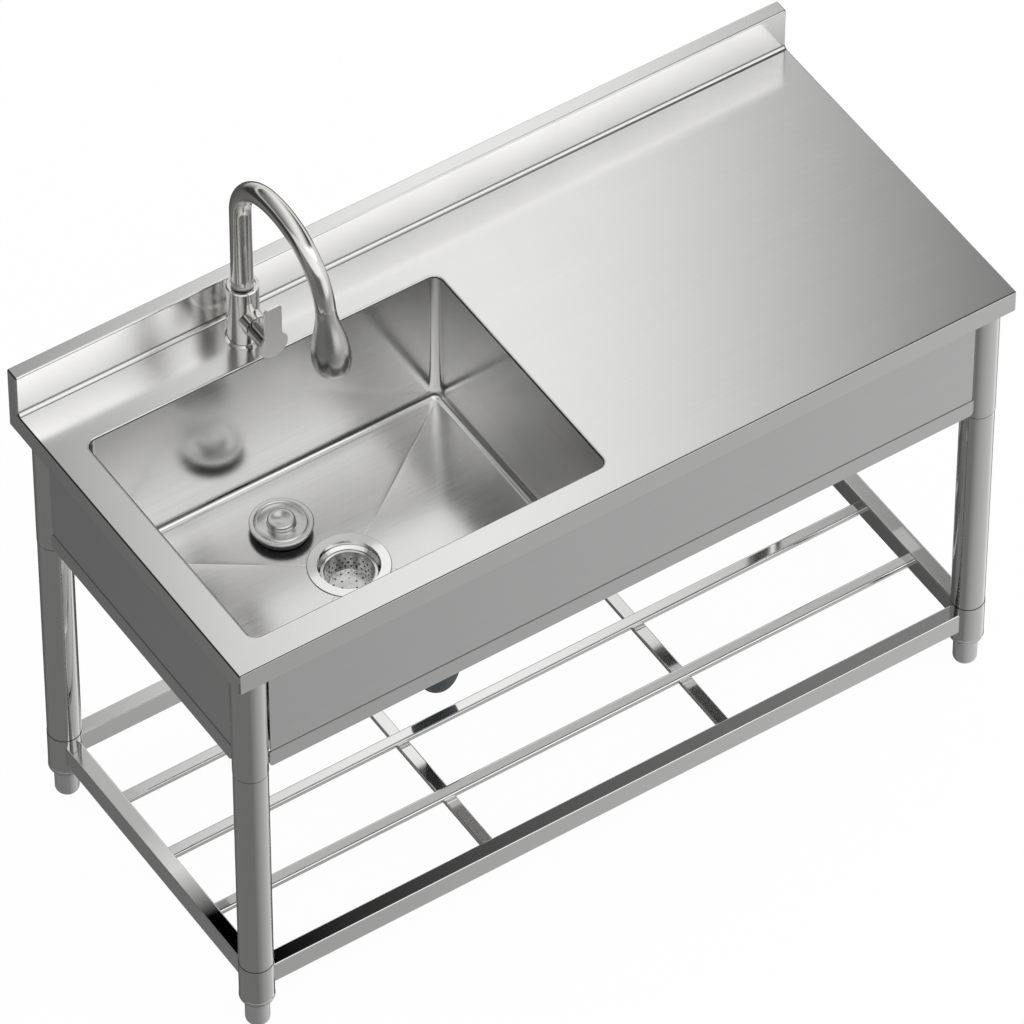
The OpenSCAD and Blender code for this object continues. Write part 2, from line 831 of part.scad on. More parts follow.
module drain_lock_nut() {
  lugs = 8;
  nut_z = seat_z - bowl_t - gasket_t - lock_h;
  color(nylon) at_drain(nut_z) linear_extrude(height = lock_h) difference() {
    union() {
      circle(r = lock_r - gasket_t);
      for (i = [0:lugs - 1]) rotate([0, 0, i * 360 / lugs])
        translate([drain_out_r + gasket_t, -lock_h / 2]) square([lock_r - drain_out_r - gasket_t, lock_h]);
    }
    circle(r = drain_out_r + run);
  }
}

// Strainer basket

module strainer_basket() {
  inner_ring = 6;
  outer_ring = 12;
  rim_top = basket_t;
  color(bright) at_drain(drain_top_z - basket_seat + snug) difference() {
    rotate_extrude() polygon([
      [0, -basket_h],
      [basket_foot_r, -basket_h],
      [basket_top_r, 0],
      [basket_rim_r, 0],
      [basket_rim_r, rim_top],
      [basket_top_r - basket_t, rim_top],
      [basket_foot_r - basket_t, -basket_h + basket_t],
      [0, -basket_h + basket_t]
    ]);
    for (i = [0:basket_columns - 1], row = [1:basket_rows])
      rotate([0, 0, (i + (row % 2) / 2) * 360 / basket_columns])
        translate([basket_foot_r - 2 * basket_t, 0, -basket_h + row * basket_row_pitch])
          rotate([0, 90, 0]) cylinder(r = basket_hole_r, h = basket_rim_r, $fn = hole_sides);
    for (i = [0:inner_ring - 1]) rotate([0, 0, i * 360 / inner_ring])
      translate([basket_ring_r, 0, -basket_h - cut])
        cylinder(r = basket_hole_r, h = basket_t + 2 * cut, $fn = hole_sides);
    for (i = [0:outer_ring - 1]) rotate([0, 0, i * 360 / outer_ring])
      translate([basket_ring2_r, 0, -basket_h - cut])
        cylinder(r = basket_hole_r, h = basket_t + 2 * cut, $fn = hole_sides);
    translate([0, 0, -basket_h - cut]) cylinder(r = basket_hole_r, h = basket_t + 2 * cut, $fn = hole_sides);
  }
}

// Stopper, laid on the bowl floor behind the drain

// Height of the floor under the back edge of the stopper, above the drain seat
stopper_floor = floor_fall * (stopper_back + seal_foot_r) / back_run;
stopper_z = seat_z + stopper_floor + loose;

module at_stopper(z) {
  translate([drain_x - stopper_left, drain_y + stopper_back, stopper_z + z]) children();
}

module stopper_cap() {
  step = dish_r - knob_r;
  color(steel) at_stopper(cap_lift) rotate_extrude() polygon([
    [0, 0],
    [cap_r, 0],
    [cap_r, cap_t / 2],
    [cap_r - cap_t / 2, cap_t],
    [dish_r + dish_h, cap_t],
    [dish_r, cap_t - dish_h],
    [knob_r + step * knob_slope_share, cap_t - dish_h],
    [knob_r, cap_t],
    [knob_r, cap_t + knob_h / 2],
    [knob_top_r, cap_t + knob_h - dish_h],
    [knob_top_r - dish_h, cap_t + knob_h],
    [0, cap_t + knob_h]
  ]);
}

module stopper_seal() {
  color(black) at_stopper(0) rotate_extrude() polygon([
    [0, 0],
    [seal_foot_r, 0],
    [seal_r, cap_lift - cap_t],
    [seal_r, cap_lift],
    [0, cap_lift]
  ]);
}

// Waste

// Places its children at the elbow, with +X along the outlet
module at_elbow() {
  at_drain(elbow_z) rotate([0, 0, elbow_turn]) children();
}

tail_z = drain_top_z - outlet_z - outlet_l;
// The elbow is a closed upright pipe with a side outlet and a thin spigot for the hose
module waste_elbow() {
  up = tail_z - elbow_z;
  outlet_pipe_r = nipple_r + elbow_wall;
  color(nylon) at_elbow() difference() {
    union() {
      translate([0, 0, -elbow_r]) cylinder(r = elbow_r, h = elbow_r + up);
      rotate([0, 90, 0]) cylinder(r = outlet_pipe_r, h = elbow_reach);
      rotate([0, 90, 0]) cylinder(r = nipple_r, h = elbow_reach + nipple_l);
    }
    translate([0, 0, elbow_wall - elbow_r]) cylinder(r = elbow_r - elbow_wall, h = elbow_r + up);
    rotate([0, 90, 0]) cylinder(r = nipple_r - nipple_wall, h = elbow_reach + nipple_l + cut);
  }
}

// The union nut clamps the elbow to the drain outlet
module elbow_nut() {
  color(nylon) at_drain(elbow_z + nipple_r + elbow_wall + loose) difference() {
    cylinder(r = union_r, h = union_h, $fn = hex_sides);
    translate([0, 0, -cut]) cylinder(r = elbow_r + run, h = union_h + 2 * cut);
  }
}

hose_last = len(hose_route) - 1;
hose_chords = [for (i = [0:hose_last - 1]) norm(hose_route[i + 1] - hose_route[i])];
hose_marks = [
  for (i = 0, sum = 0; i <= hose_last; sum = sum + (i < hose_last ? hose_chords[i] : 0), i = i + 1) sum
];
hose_l = hose_marks[hose_last];

function unit(v) = v / norm(v);
function hose_heading(i) = unit(hose_route[min(i + 1, hose_last)] - hose_route[max(i - 1, 0)]);
function hose_part(d) = max([for (i = [0:hose_last - 1]) if (hose_marks[i] <= d) i]);
// Point of the hose axis at a distance d from the elbow, on a smooth curve through the route
function hose_point(d) =
  let (i = hose_part(d), c = hose_chords[i], t = (d - hose_marks[i]) / c)
  (2 * t * t * t - 3 * t * t + 1) * hose_route[i]
    + (t * t * t - 2 * t * t + t) * c * hose_heading(i)
    + (3 * t * t - 2 * t * t * t) * hose_route[i + 1]
    + (t * t * t - t * t) * c * hose_heading(i + 1);
function hose_dir(d) =
  let (probe = rib_pitch * probe_share, a = max(d - probe, 0), b = min(d + probe, hose_l))
  unit(hose_point(b) - hose_point(a));
// Ring of the hose at a distance d, square to the axis
function hose_ring(d, r) =
  let (p = hose_point(d), h = hose_dir(d))
  [for (k = [0:hose_sides - 1])
    let (a = (k + 0.5) * 360 / hose_sides, n = r * cos(a), s = r * sin(a))
    [p.x - n * h.y, s, p.y + n * h.x]];

rib_count = floor((hose_l - 2 * cuff_l) / rib_pitch);
rib_step = (hose_l - 2 * cuff_l) / rib_count;
skin_rings = concat(
  [[0, hose_r], [cuff_l, hose_r]],
  [for (i = [0:rib_count - 1], half = [0, 1])
    if (i > 0 || half > 0) [cuff_l + (i + half / 2) * rib_step, half > 0 ? hose_valley_r : hose_r]],
  [[hose_l - cuff_l, hose_r], [hose_l, hose_r]]
);
bore_count = round(hose_l / bore_step);
bore_rings = [for (i = [0:bore_count]) [hose_l * i / bore_count, hose_bore_r]];

module waste_hose() {
  skin = [for (ring = skin_rings) each hose_ring(ring[0], ring[1])];
  bore = [for (ring = bore_rings) each hose_ring(ring[0], ring[1])];
  m = hose_sides;
  s = len(skin);
  b = len(bore);
  skin_faces = [for (i = [0:len(skin_rings) - 2], k = [0:m - 1])
    let (a = i * m + k, c = i * m + (k + 1) % m)
    each [[a, a + m, c], [c, a + m, c + m]]];
  bore_faces = [for (i = [0:len(bore_rings) - 2], k = [0:m - 1])
    let (a = s + i * m + k, c = s + i * m + (k + 1) % m)
    each [[a, c, a + m], [c, c + m, a + m]]];
  start_faces = [for (k = [0:m - 1])
    let (a = k, c = (k + 1) % m)
    each [[a, c, s + a], [c, s + c, s + a]]];
  end_faces = [for (k = [0:m - 1])
    let (a = k, c = (k + 1) % m)
    each [[s - m + a, s + b - m + a, s - m + c], [s - m + c, s + b - m + a, s + b - m + c]]];
  color(black) at_drain(0) rotate([0, 0, elbow_turn])
    polyhedron(points = concat(skin, bore), faces = concat(skin_faces, bore_faces, start_faces, end_faces));
}

module hose_clamp() {
  color(bright) at_elbow() translate([elbow_reach + nipple_l * clamp_share, 0, 0]) rotate([0, 90, 0])
    pipe(hose_r + run + clamp_t, clamp_t, clamp_w);
}

// Domed rubber plug on the free end of the hose
plug_foot_z = hose_route[hose_last].y - plug_h + plug_socket;
plug_steps = 10;
function plug_radius(share) = plug_r * sqrt(1 - pow(1 - share, 2));

module hose_end_plug() {
  shell = [for (i = [0:plug_steps]) let (share = i / plug_steps)
    [plug_radius(plug_tip_share + share * (1 - plug_tip_share)), share * plug_h]];
  color(black) at_drain(plug_foot_z) rotate([0, 0, elbow_turn]) translate([hose_route[hose_last].x, 0, 0])
    difference() {
      rotate_extrude() polygon(concat([[0, 0]], shell, [[0, plug_h]]));
      translate([0, 0, plug_h - plug_socket]) cylinder(r = hose_r + loose, h = plug_socket + cut);
      translate([0, 0, plug_wall]) cylinder(r = hose_bore_r - plug_wall / 2, h = plug_h);
    }
}

// Tap

module at_tap(z) {
  translate([tap_x, tap_y, z]) children();
}

// Places its children at the hub, with +Z pointing to the front along the hub axis
module at_hub(out) {
  at_tap(hub_height) translate([0, -out, 0]) rotate([90, 0, 0]) children();
}

module tap_base_ring() {
  color(bright) at_tap(unit_h) difference() {
    rotate_extrude() polygon([
      [0, 0],
      [ring_r, 0],
      [ring_r, ring_h / 2],
      [tap_r, ring_h],
      [0, ring_h]
    ]);
    translate([0, 0, -cut]) cylinder(r = shank_r + run, h = ring_h + 2 * cut);
  }
}

module tap_body() {
  color(steel) difference() {
    union() {
      at_tap(unit_h + ring_h) rotate_extrude() polygon([
        [0, 0],
        [tap_r, 0],
        [tap_r, tap_h - ring_h - tap_chamfer],
        [tap_r - tap_chamfer, tap_h - ring_h],
        [0, tap_h - ring_h]
      ]);
      at_hub(0) cylinder(r = hub_r, h = hub_l);
    }
    at_tap(unit_h) cylinder(r = way_r, h = tap_h + cut);
    at_tap(unit_h) cylinder(r = shank_r + run, h = 2 * ring_h);
    at_tap(neck_foot_z) cylinder(r = way_in_r + snug, h = neck_in + cut);
    at_hub(hub_l + pivot_out) sphere(r = sleeve_sphere_r);
    at_hub(0) cylinder(r = cart_r + snug, h = hub_l);
  }
}

// The cartridge ends where the socket of the lever sleeve starts
cart_start = hub_l + pivot_out - sleeve_sphere_r - loose - cart_l;
cart_end = cart_l * cart_end_share;

module tap_cartridge() {
  color(nylon) at_hub(cart_start) difference() {
    cylinder(r = cart_r, h = cart_l);
    translate([0, 0, cart_end]) cylinder(r = spindle_r + run, h = cart_l);
  }
}

module lever_spindle() {
  color(dark_steel) at_hub(cart_start + cart_end + loose) difference() {
    reach = hub_l + pivot_out - cart_start - cart_end - loose;
    union() {
      cylinder(r = spindle_r, h = reach);
      translate([0, 0, reach]) rotate([0, 90, 0]) cylinder(r = eye_r, h = eye_w, center = true);
    }
    translate([0, 0, reach]) rotate([0, 90, 0]) cylinder(r = pin_r + run, h = eye_w + 2 * cut, center = true);
  }
}

module lever_pin() {
  color(dark_steel) at_hub(hub_l + pivot_out) rotate([0, 90, 0])
    cylinder(r = pin_r, h = 2 * pin_half, center = true);
}

// The sleeve ends in a ball that turns and tilts in the socket of the hub
module lever_sleeve() {
  slot_half = eye_w / 2 + loose;
  stem_half = spindle_r + loose;
  room_r = eye_r + loose;
  color(bright) at_hub(hub_l + pivot_out) difference() {
    rotate_extrude() intersection() {
      union() {
        circle(r = hub_r);
        square([hub_r, sleeve_l]);
      }
      translate([0, -hub_r]) square([hub_r, hub_r + sleeve_l]);
    }
    rotate([0, 90, 0]) cylinder(r = room_r, h = 2 * slot_half, center = true);
    rotate([0, 90, 0]) linear_extrude(height = 2 * slot_half, center = true) polygon([
      [0, stem_half],
      [hub_r + cut, stem_half],
      [hub_r + cut, -(hub_r + cut) * tan(lever_tilt) - stem_half / cos(lever_tilt)],
      [0, -stem_half / cos(lever_tilt)]
    ]);
    translate([-pin_half - snug, 0, 0]) rotate([0, 90, 0])
      cylinder(r = pin_r + snug, h = pin_half + hub_r + cut);
  }
}

// Flat paddle: a round end on the hub axis and a tongue that rises from it
module paddle_outline() {
  half = tongue_w / 2;
  hollow_x = half + hollow_r + snug;
  hollow_z = sqrt(pow(paddle_r + hollow_r + snug, 2) - pow(hollow_x, 2));
  difference() {
    union() {
      circle(r = paddle_r);
      translate([-half, 0]) square([tongue_w, tongue_h - tongue_r]);
      translate([-half + tongue_r, 0]) square([tongue_w - 2 * tongue_r, tongue_h]);
      for (side = [-1, 1]) translate([side * (half - tongue_r), tongue_h - tongue_r]) circle(r = tongue_r);
      polygon([[0, 0], [hollow_x, hollow_z], [-hollow_x, hollow_z]]);
    }
    for (side = [-1, 1]) translate([side * hollow_x, hollow_z]) circle(r = hollow_r);
  }
}

module lever_paddle() {
  color(steel) at_hub(hub_l + pivot_out + sleeve_l) linear_extrude(height = paddle_t) paddle_outline();
}

module tap_shank() {
  length = shank_l + sheet_t + ring_h + ring_h;
  color(dark_steel) at_tap(under_z - shank_l) difference() {
    cylinder(r = shank_r, h = length - run);
    for (side = [-1, 1]) translate([side * inlet_off, 0, -cut]) cylinder(r = inlet_r, h = inlet_l + cut);
  }
}

module tap_washer() {
  color(black) at_tap(under_z - washer_t) ring(washer_r, shank_r + run, washer_t);
}

module tap_nut() {
  color(dark_steel) at_tap(under_z - washer_t - tap_nut_h) difference() {
    cylinder(r = tap_nut_r, h = tap_nut_h, $fn = hex_sides);
    translate([0, 0, -cut]) cylinder(r = shank_r + run, h = tap_nut_h + 2 * cut);
  }
}

// Neck and spray head

// Turns its children about the tap axis to the resting place of the neck
module at_neck(z) {
  at_tap(z) rotate([0, 0, neck_turn]) children();
}

bend_a2 = 2 * quarter - head_tilt - bend_a1;
// Angle by which the first bend laps over the second
lap_angle = 1;
// Centre of the second bend, in front of the tap axis and above the start of the first
bend2_out = bend_r1 + (bend_r2 - bend_r1) * cos(bend_a1);
bend2_up = -(bend_r2 - bend_r1) * sin(bend_a1);
seam_out = bend2_out - bend_r2 * cos(bend_a1 + bend_a2);
seam_up = bend2_up + bend_r2 * sin(bend_a1 + bend_a2);

// One round bend of the neck, from one angle to another, about a centre in front of the axis
module neck_bend(out, up, radius, start, turn, r) {
  translate([0, -out, up]) rotate([0, -90, 0]) rotate([0, 0, start])
    rotate_extrude(angle = turn) translate([radius, 0]) circle(r = r);
}

// The neck narrows by a small step at the start of each bend, where the lengths lap
module neck_core(r, below) {
  union() {
    translate([0, 0, neck_foot_z + loose - unit_h - bend_z - below])
      cylinder(r = r, h = bend_z + unit_h - neck_foot_z - loose + below + cut);
    neck_bend(bend_r1, 0, bend_r1, quarter - bend_a1 - lap_angle, bend_a1 + lap_angle, r - neck_step);
    neck_bend(bend2_out, bend2_up, bend_r2, quarter - bend_a1 - bend_a2, bend_a2, r - 2 * neck_step);
  }
}

module neck_tube() {
  color(steel) at_neck(unit_h + bend_z) difference() {
    neck_core(neck_r, 0);
    neck_core(neck_r - neck_wall, cut);
  }
}

module neck_bush() {
  bush_h = neck_in - bush_drop;
  color(steel) at_tap(neck_foot_z) ring(way_in_r, neck_r + run, bush_h);
}

// Places its children at the seam of the spray head, with -Z pointing along the head
module at_seam() {
  at_neck(unit_h + bend_z) translate([0, -seam_out, seam_up]) rotate([-head_tilt, 0, 0]) children();
}

head_steps = 20;
function head_radius(share) =
  share < head_max_share
    ? head_top_r + (head_max_r - head_top_r) * (1 - cos(180 * share / head_max_share)) / 2
    : head_face_r + (head_max_r - head_face_r)
      * sqrt(1 - pow((share - head_max_share) / (1 - head_max_share), 2));

module spray_head() {
  side = [for (i = [0:head_steps]) let (share = i / head_steps)
    [head_radius(share), -loose - share * (head_l - loose)]];
  color(steel) at_seam() difference() {
    rotate_extrude() polygon(concat([[0, -loose]], side, [[0, -head_l]]));
    translate([0, 0, -spray_hose_in]) cylinder(r = spray_hose_r + snug, h = spray_hose_in + cut);
    translate([0, 0, -head_l + face_t / 2]) cylinder(r = spray_hose_r - face_t / 2, h = head_l);
    translate([0, 0, -head_l - cut]) cylinder(r = face_r + snug, h = face_t + cut);
  }
}

module spray_face() {
  rings = 3;
  color(black) at_seam() translate([0, 0, -head_l]) difference() {
    cylinder(r = face_r, h = face_t);
    for (k = [1:rings], i = [0:ring_nozzles * k - 1]) rotate([0, 0, i * 360 / (ring_nozzles * k)])
      translate([k * face_r / (rings + 1), 0, -cut])
        cylinder(r = nozzle_r, h = face_t / 2 + cut, $fn = hole_sides);
  }
}

module spray_hose() {
  color(dark_steel) at_seam() translate([0, 0, -spray_hose_in])
    pipe(spray_hose_r, nozzle_r * 2, spray_hose_in + spray_hose_up);
}

worktop();
sink_bowl();
top_stiffeners();
front_apron();
back_apron();
left_apron();
right_apron();
leg_top(FL);  // leg_top_front_left
leg_top(FR);  // leg_top_front_right
leg_top(BL);  // leg_top_back_left
leg_top(BR);  // leg_top_back_right
leg_tube(FL);  // leg_tube_front_left
leg_tube(FR);  // leg_tube_front_right
leg_tube(BL);  // leg_tube_back_left
leg_tube(BR);  // leg_tube_back_right
leg_sleeve(FL);  // leg_sleeve_front_left
leg_sleeve(FR);  // leg_sleeve_front_right
leg_sleeve(BL);  // leg_sleeve_back_left
leg_sleeve(BR);  // leg_sleeve_back_right
leg_spigots();
foot_collars();
foot(FL);  // foot_front_left
foot(FR);  // foot_front_right
foot(BL);  // foot_back_left
foot(BR);  // foot_back_right
front_rail();
back_rail();
left_rail();
right_rail();
slat(-1);  // front_slat
slat(0);  // middle_slat
slat(1);  // back_slat
cross_bar(-1);  // left_cross_bar
cross_bar(1);  // right_cross_bar
drain_body();
drain_gasket();
drain_lock_nut();
waste_elbow();
elbow_nut();
hose_clamp();
waste_hose();
hose_end_plug();
strainer_basket();
stopper_cap();
stopper_seal();
tap_base_ring();
tap_body();
tap_cartridge();
lever_spindle();
lever_pin();
lever_sleeve();
lever_paddle();
neck_tube();
neck_bush();
spray_head();
spray_face();
spray_hose();
tap_shank();
tap_washer();
tap_nut();
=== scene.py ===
"""The kitchen sink unit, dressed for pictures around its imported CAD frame.

Everything is in metres, in the frame of the CAD model: X along the worktop, Y from the front to the back,
Z up from the floor. The photograph looks down on the unit from its front left.
"""

import logging
import math
from dataclasses import dataclass, field, replace
from enum import Enum
from typing import ClassVar

import bmesh
import bpy
from mathutils import Matrix, Vector


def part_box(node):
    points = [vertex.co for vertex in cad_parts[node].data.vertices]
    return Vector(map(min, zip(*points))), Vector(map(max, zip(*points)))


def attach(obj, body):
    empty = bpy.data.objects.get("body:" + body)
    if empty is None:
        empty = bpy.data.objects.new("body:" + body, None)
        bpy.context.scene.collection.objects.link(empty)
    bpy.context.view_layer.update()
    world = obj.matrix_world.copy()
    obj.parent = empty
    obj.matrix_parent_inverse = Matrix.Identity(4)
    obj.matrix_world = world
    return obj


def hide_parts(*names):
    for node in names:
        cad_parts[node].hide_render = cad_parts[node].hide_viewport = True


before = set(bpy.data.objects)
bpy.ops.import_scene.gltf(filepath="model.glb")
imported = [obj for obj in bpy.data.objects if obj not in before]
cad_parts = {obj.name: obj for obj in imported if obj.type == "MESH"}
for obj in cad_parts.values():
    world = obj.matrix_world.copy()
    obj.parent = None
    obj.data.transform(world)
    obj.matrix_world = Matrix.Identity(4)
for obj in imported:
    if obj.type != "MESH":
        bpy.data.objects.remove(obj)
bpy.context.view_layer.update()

LOG = logging.getLogger("sink_unit")

Colour = tuple[float, float, float]
Stops = tuple[tuple[float, float], ...]
Socket = bpy.types.NodeSocket

DRAIN: tuple[float, float] = (-0.294, -0.020)
BOWL_CENTRE: tuple[float, float] = (-0.3055, -0.036)
BOWL_SIZE: tuple[float, float] = (0.586, 0.435)
BOWL_CORNER: float = 0.016


class GrainDirection(Enum):
    """The way in which the drawn lines of a metal run, as lines in a metre along X, Y and Z."""

    ALONG_X = (3.0, 420.0, 420.0)
    ALONG_Y = (420.0, 3.0, 420.0)
    ALONG_Z = (420.0, 420.0, 3.0)
    ROUND = (160.0, 160.0, 420.0)


class NodeSheet:
    """A node tree that is being drawn, either of a material or of a shared effect."""

    BUMP_REACH = 0.0002

    def __init__(self, tree: bpy.types.NodeTree) -> None:
        """Starts on an empty tree.

        Args:
            tree: The node tree to draw in.
        """
        self.tree = tree
        self.tree.nodes.clear()

    def add(
        self, kind: str, feeds: dict[str | int, object] | None = None, **settings: object
    ) -> bpy.types.Node:
        """Adds one node.

        Args:
            kind: Blender's name of the node type, without ShaderNode.
            feeds: Inputs of the node, each with the socket or the value that it gets.
            settings: Properties of the node and their values.

        Returns:
            The new node.
        """
        node = self.tree.nodes.new("ShaderNode" + kind)
        for name, value in settings.items():
            setattr(node, name, value)
        for name, value in (feeds or {}).items():
            self.feed(value, node.inputs[name])
        return node

    def feed(self, source: object, target: Socket) -> None:
        """Links a socket to an input, or writes a value into it."""
        if isinstance(source, Socket):
            self.tree.links.new(source, target)
        else:
            target.default_value = source

    def math(self, operation: str, a: object, b: object = 0.0) -> Socket:
        """Calculates with one or two sockets or numbers."""
        return self.add("Math", {0: a, 1: b}, operation=operation).outputs[0]

    def spread(self, value: Socket, low: float, high: float) -> Socket:
        """Maps a value from 0 to 1 onto a range."""
        return self.add("MapRange", {"Value": value, "To Min": low, "To Max": high}).outputs["Result"]

    def share(self, value: Socket, low: float, high: float) -> Socket:
        """Gives how far a value lies between two others, as 0 to 1."""
        return self.add("MapRange", {"Value": value, "From Min": low, "From Max": high}).outputs["Result"]

    def parts(self, vector: Socket) -> bpy.types.NodeOutputs:
        """Splits a vector into its X, Y and Z."""
        return self.add("SeparateXYZ", {"Vector": vector}).outputs

    def mix(self, mask: Socket, low: Socket | Colour, high: Socket | Colour) -> Socket:
        """Mixes two colours, each a socket or three numbers, by a mask from 0 to 1."""
        a, b = (tone if isinstance(tone, Socket) else (*tone, 1.0) for tone in (low, high))
        return self.add("Mix", {"Factor": mask, "A": a, "B": b}, data_type="RGBA").outputs["Result"]

    def ramp(self, value: Socket, stops: Stops) -> Socket:
        """Lays grey tones along a value.

        Args:
            value: The socket that is measured, 0 to 1.
            stops: Places and their tones.

        Returns:
            The colour socket.
        """
        node = self.add("ValToRGB", {"Fac": value})
        elements = node.color_ramp.elements
        while len(elements) < len(stops):
            elements.new(0.5)
        for element, (where, tone) in zip(elements, stops):
            element.position = where
            element.color = (tone, tone, tone, 1.0)
        return node.outputs["Color"]

    def bump(self, height: Socket, strength: float) -> Socket:
        """Turns the height of a skin into its normal."""
        feeds = {"Strength": strength, "Distance": self.BUMP_REACH, "Height": height}
        return self.add("Bump", feeds).outputs["Normal"]

    def seen(self) -> Socket:
        """Tells camera, mirrored and passed rays from the rays that carry light."""
        rays = self.add("LightPath").outputs
        mirrored = self.math("MAXIMUM", rays["Is Camera Ray"], rays["Is Glossy Ray"])
        return self.math("MAXIMUM", mirrored, rays["Is Transmission Ray"])

    def blend(self, mask: Socket, first: Socket, second: Socket) -> Socket:
        """Mixes two shaders by a mask from 0 to 1."""
        return self.add("MixShader", {"Fac": mask, 1: first, 2: second}).outputs["Shader"]

    def surface(self, shader: Socket) -> None:
        """Gives the material its surface."""
        self.add("OutputMaterial", {"Surface": shader})


def new_material(name: str) -> tuple[bpy.types.Material, NodeSheet]:
    """Makes an empty material and its sheet."""
    material = bpy.data.materials.new(name)
    material.use_nodes = True
    return material, NodeSheet(material.node_tree)


class SharedEffects:
    """The node groups that more than one finish uses, each built once."""

    BROAD_SCALE = 0.12
    BROAD_SHARE = 0.35
    GRAIN_SPREAD = (-0.7, 1.7)
    MARKS_SPREAD = (-0.6, 1.6)
    CLOUD_SCALE = 90.0

    @staticmethod
    def group(
        name: str, inputs: dict[str, str], outputs: dict[str, str]
    ) -> tuple[bpy.types.NodeTree, NodeSheet, bpy.types.Node, bpy.types.Node]:
        """Makes an empty node group with its sockets.

        Args:
            name: Name of the group.
            inputs: Socket names and their kinds.
            outputs: Socket names and their kinds.

        Returns:
            The group, its sheet, and its input and output nodes.
        """
        tree = bpy.data.node_groups.new(name, "ShaderNodeTree")
        sheet = NodeSheet(tree)
        for side, sockets in (("INPUT", inputs), ("OUTPUT", outputs)):
            for socket, kind in sockets.items():
                tree.interface.new_socket(name=socket, in_out=side, socket_type="NodeSocket" + kind)
        first = tree.nodes.new("NodeGroupInput")
        last = tree.nodes.new("NodeGroupOutput")
        return tree, sheet, first, last

    @classmethod
    def drawn_grain(cls) -> bpy.types.NodeTree:
        """The fine drawn lines of brushed metal.

        Returns:
            A group that takes a place and how the lines are stretched, and gives their tone and height.
        """
        name = "drawn_grain"
        if name in bpy.data.node_groups:
            return bpy.data.node_groups[name]
        tree, sheet, first, last = cls.group(
            name, {"Place": "Vector", "Stretch": "Vector"}, {"Tone": "Float", "Height": "Float"}
        )
        feeds = {0: first.outputs["Place"], 1: first.outputs["Stretch"]}
        stretched = sheet.add("VectorMath", feeds, operation="MULTIPLY").outputs["Vector"]
        lines = sheet.add("TexNoise", {"Vector": stretched, "Scale": 1.0, "Detail": 4.0, "Roughness": 0.65})
        broad = sheet.add("TexNoise", {"Vector": stretched, "Scale": cls.BROAD_SCALE, "Detail": 2.0})
        feeds = {"Factor": cls.BROAD_SHARE, "A": lines.outputs["Fac"], "B": broad.outputs["Fac"]}
        tone = sheet.add("Mix", feeds, data_type="FLOAT").outputs["Result"]
        sheet.feed(sheet.spread(tone, *cls.GRAIN_SPREAD), last.inputs["Tone"])
        sheet.feed(lines.outputs["Fac"], last.inputs["Height"])
        return tree

    @classmethod
    def handling_marks(cls) -> bpy.types.NodeTree:
        """Faint smears and wiped patches.

        Returns:
            A group that takes a place and a scale, and gives a soft mask.
        """
        name = "handling_marks"
        if name in bpy.data.node_groups:
            return bpy.data.node_groups[name]
        tree, sheet, first, last = cls.group(name, {"Place": "Vector", "Scale": "Float"}, {"Marks": "Float"})
        feeds = {"Vector": first.outputs["Place"], "Scale": first.outputs["Scale"]}
        smear = sheet.add("TexNoise", {**feeds, "Detail": 3.0, "Distortion": 0.6})
        sheet.feed(sheet.spread(smear.outputs["Fac"], *cls.MARKS_SPREAD), last.inputs["Marks"])
        return tree

    @classmethod
    def moulded_skin(cls) -> bpy.types.NodeTree:
        """The fine pebbled skin of moulded rubber and plastic.

        Returns:
            A group that takes a place and a scale, and gives its speckle and height.
        """
        name = "moulded_skin"
        if name in bpy.data.node_groups:
            return bpy.data.node_groups[name]
        tree, sheet, first, last = cls.group(
            name, {"Place": "Vector", "Scale": "Float"}, {"Speckle": "Float", "Height": "Float"}
        )
        place = first.outputs["Place"]
        pebble = sheet.add("TexVoronoi", {"Vector": place, "Scale": first.outputs["Scale"]})
        cloud = sheet.add("TexNoise", {"Vector": place, "Scale": cls.CLOUD_SCALE, "Detail": 4.0})
        sheet.feed(cloud.outputs["Fac"], last.inputs["Speckle"])
        sheet.feed(pebble.outputs["Distance"], last.inputs["Height"])
        return tree


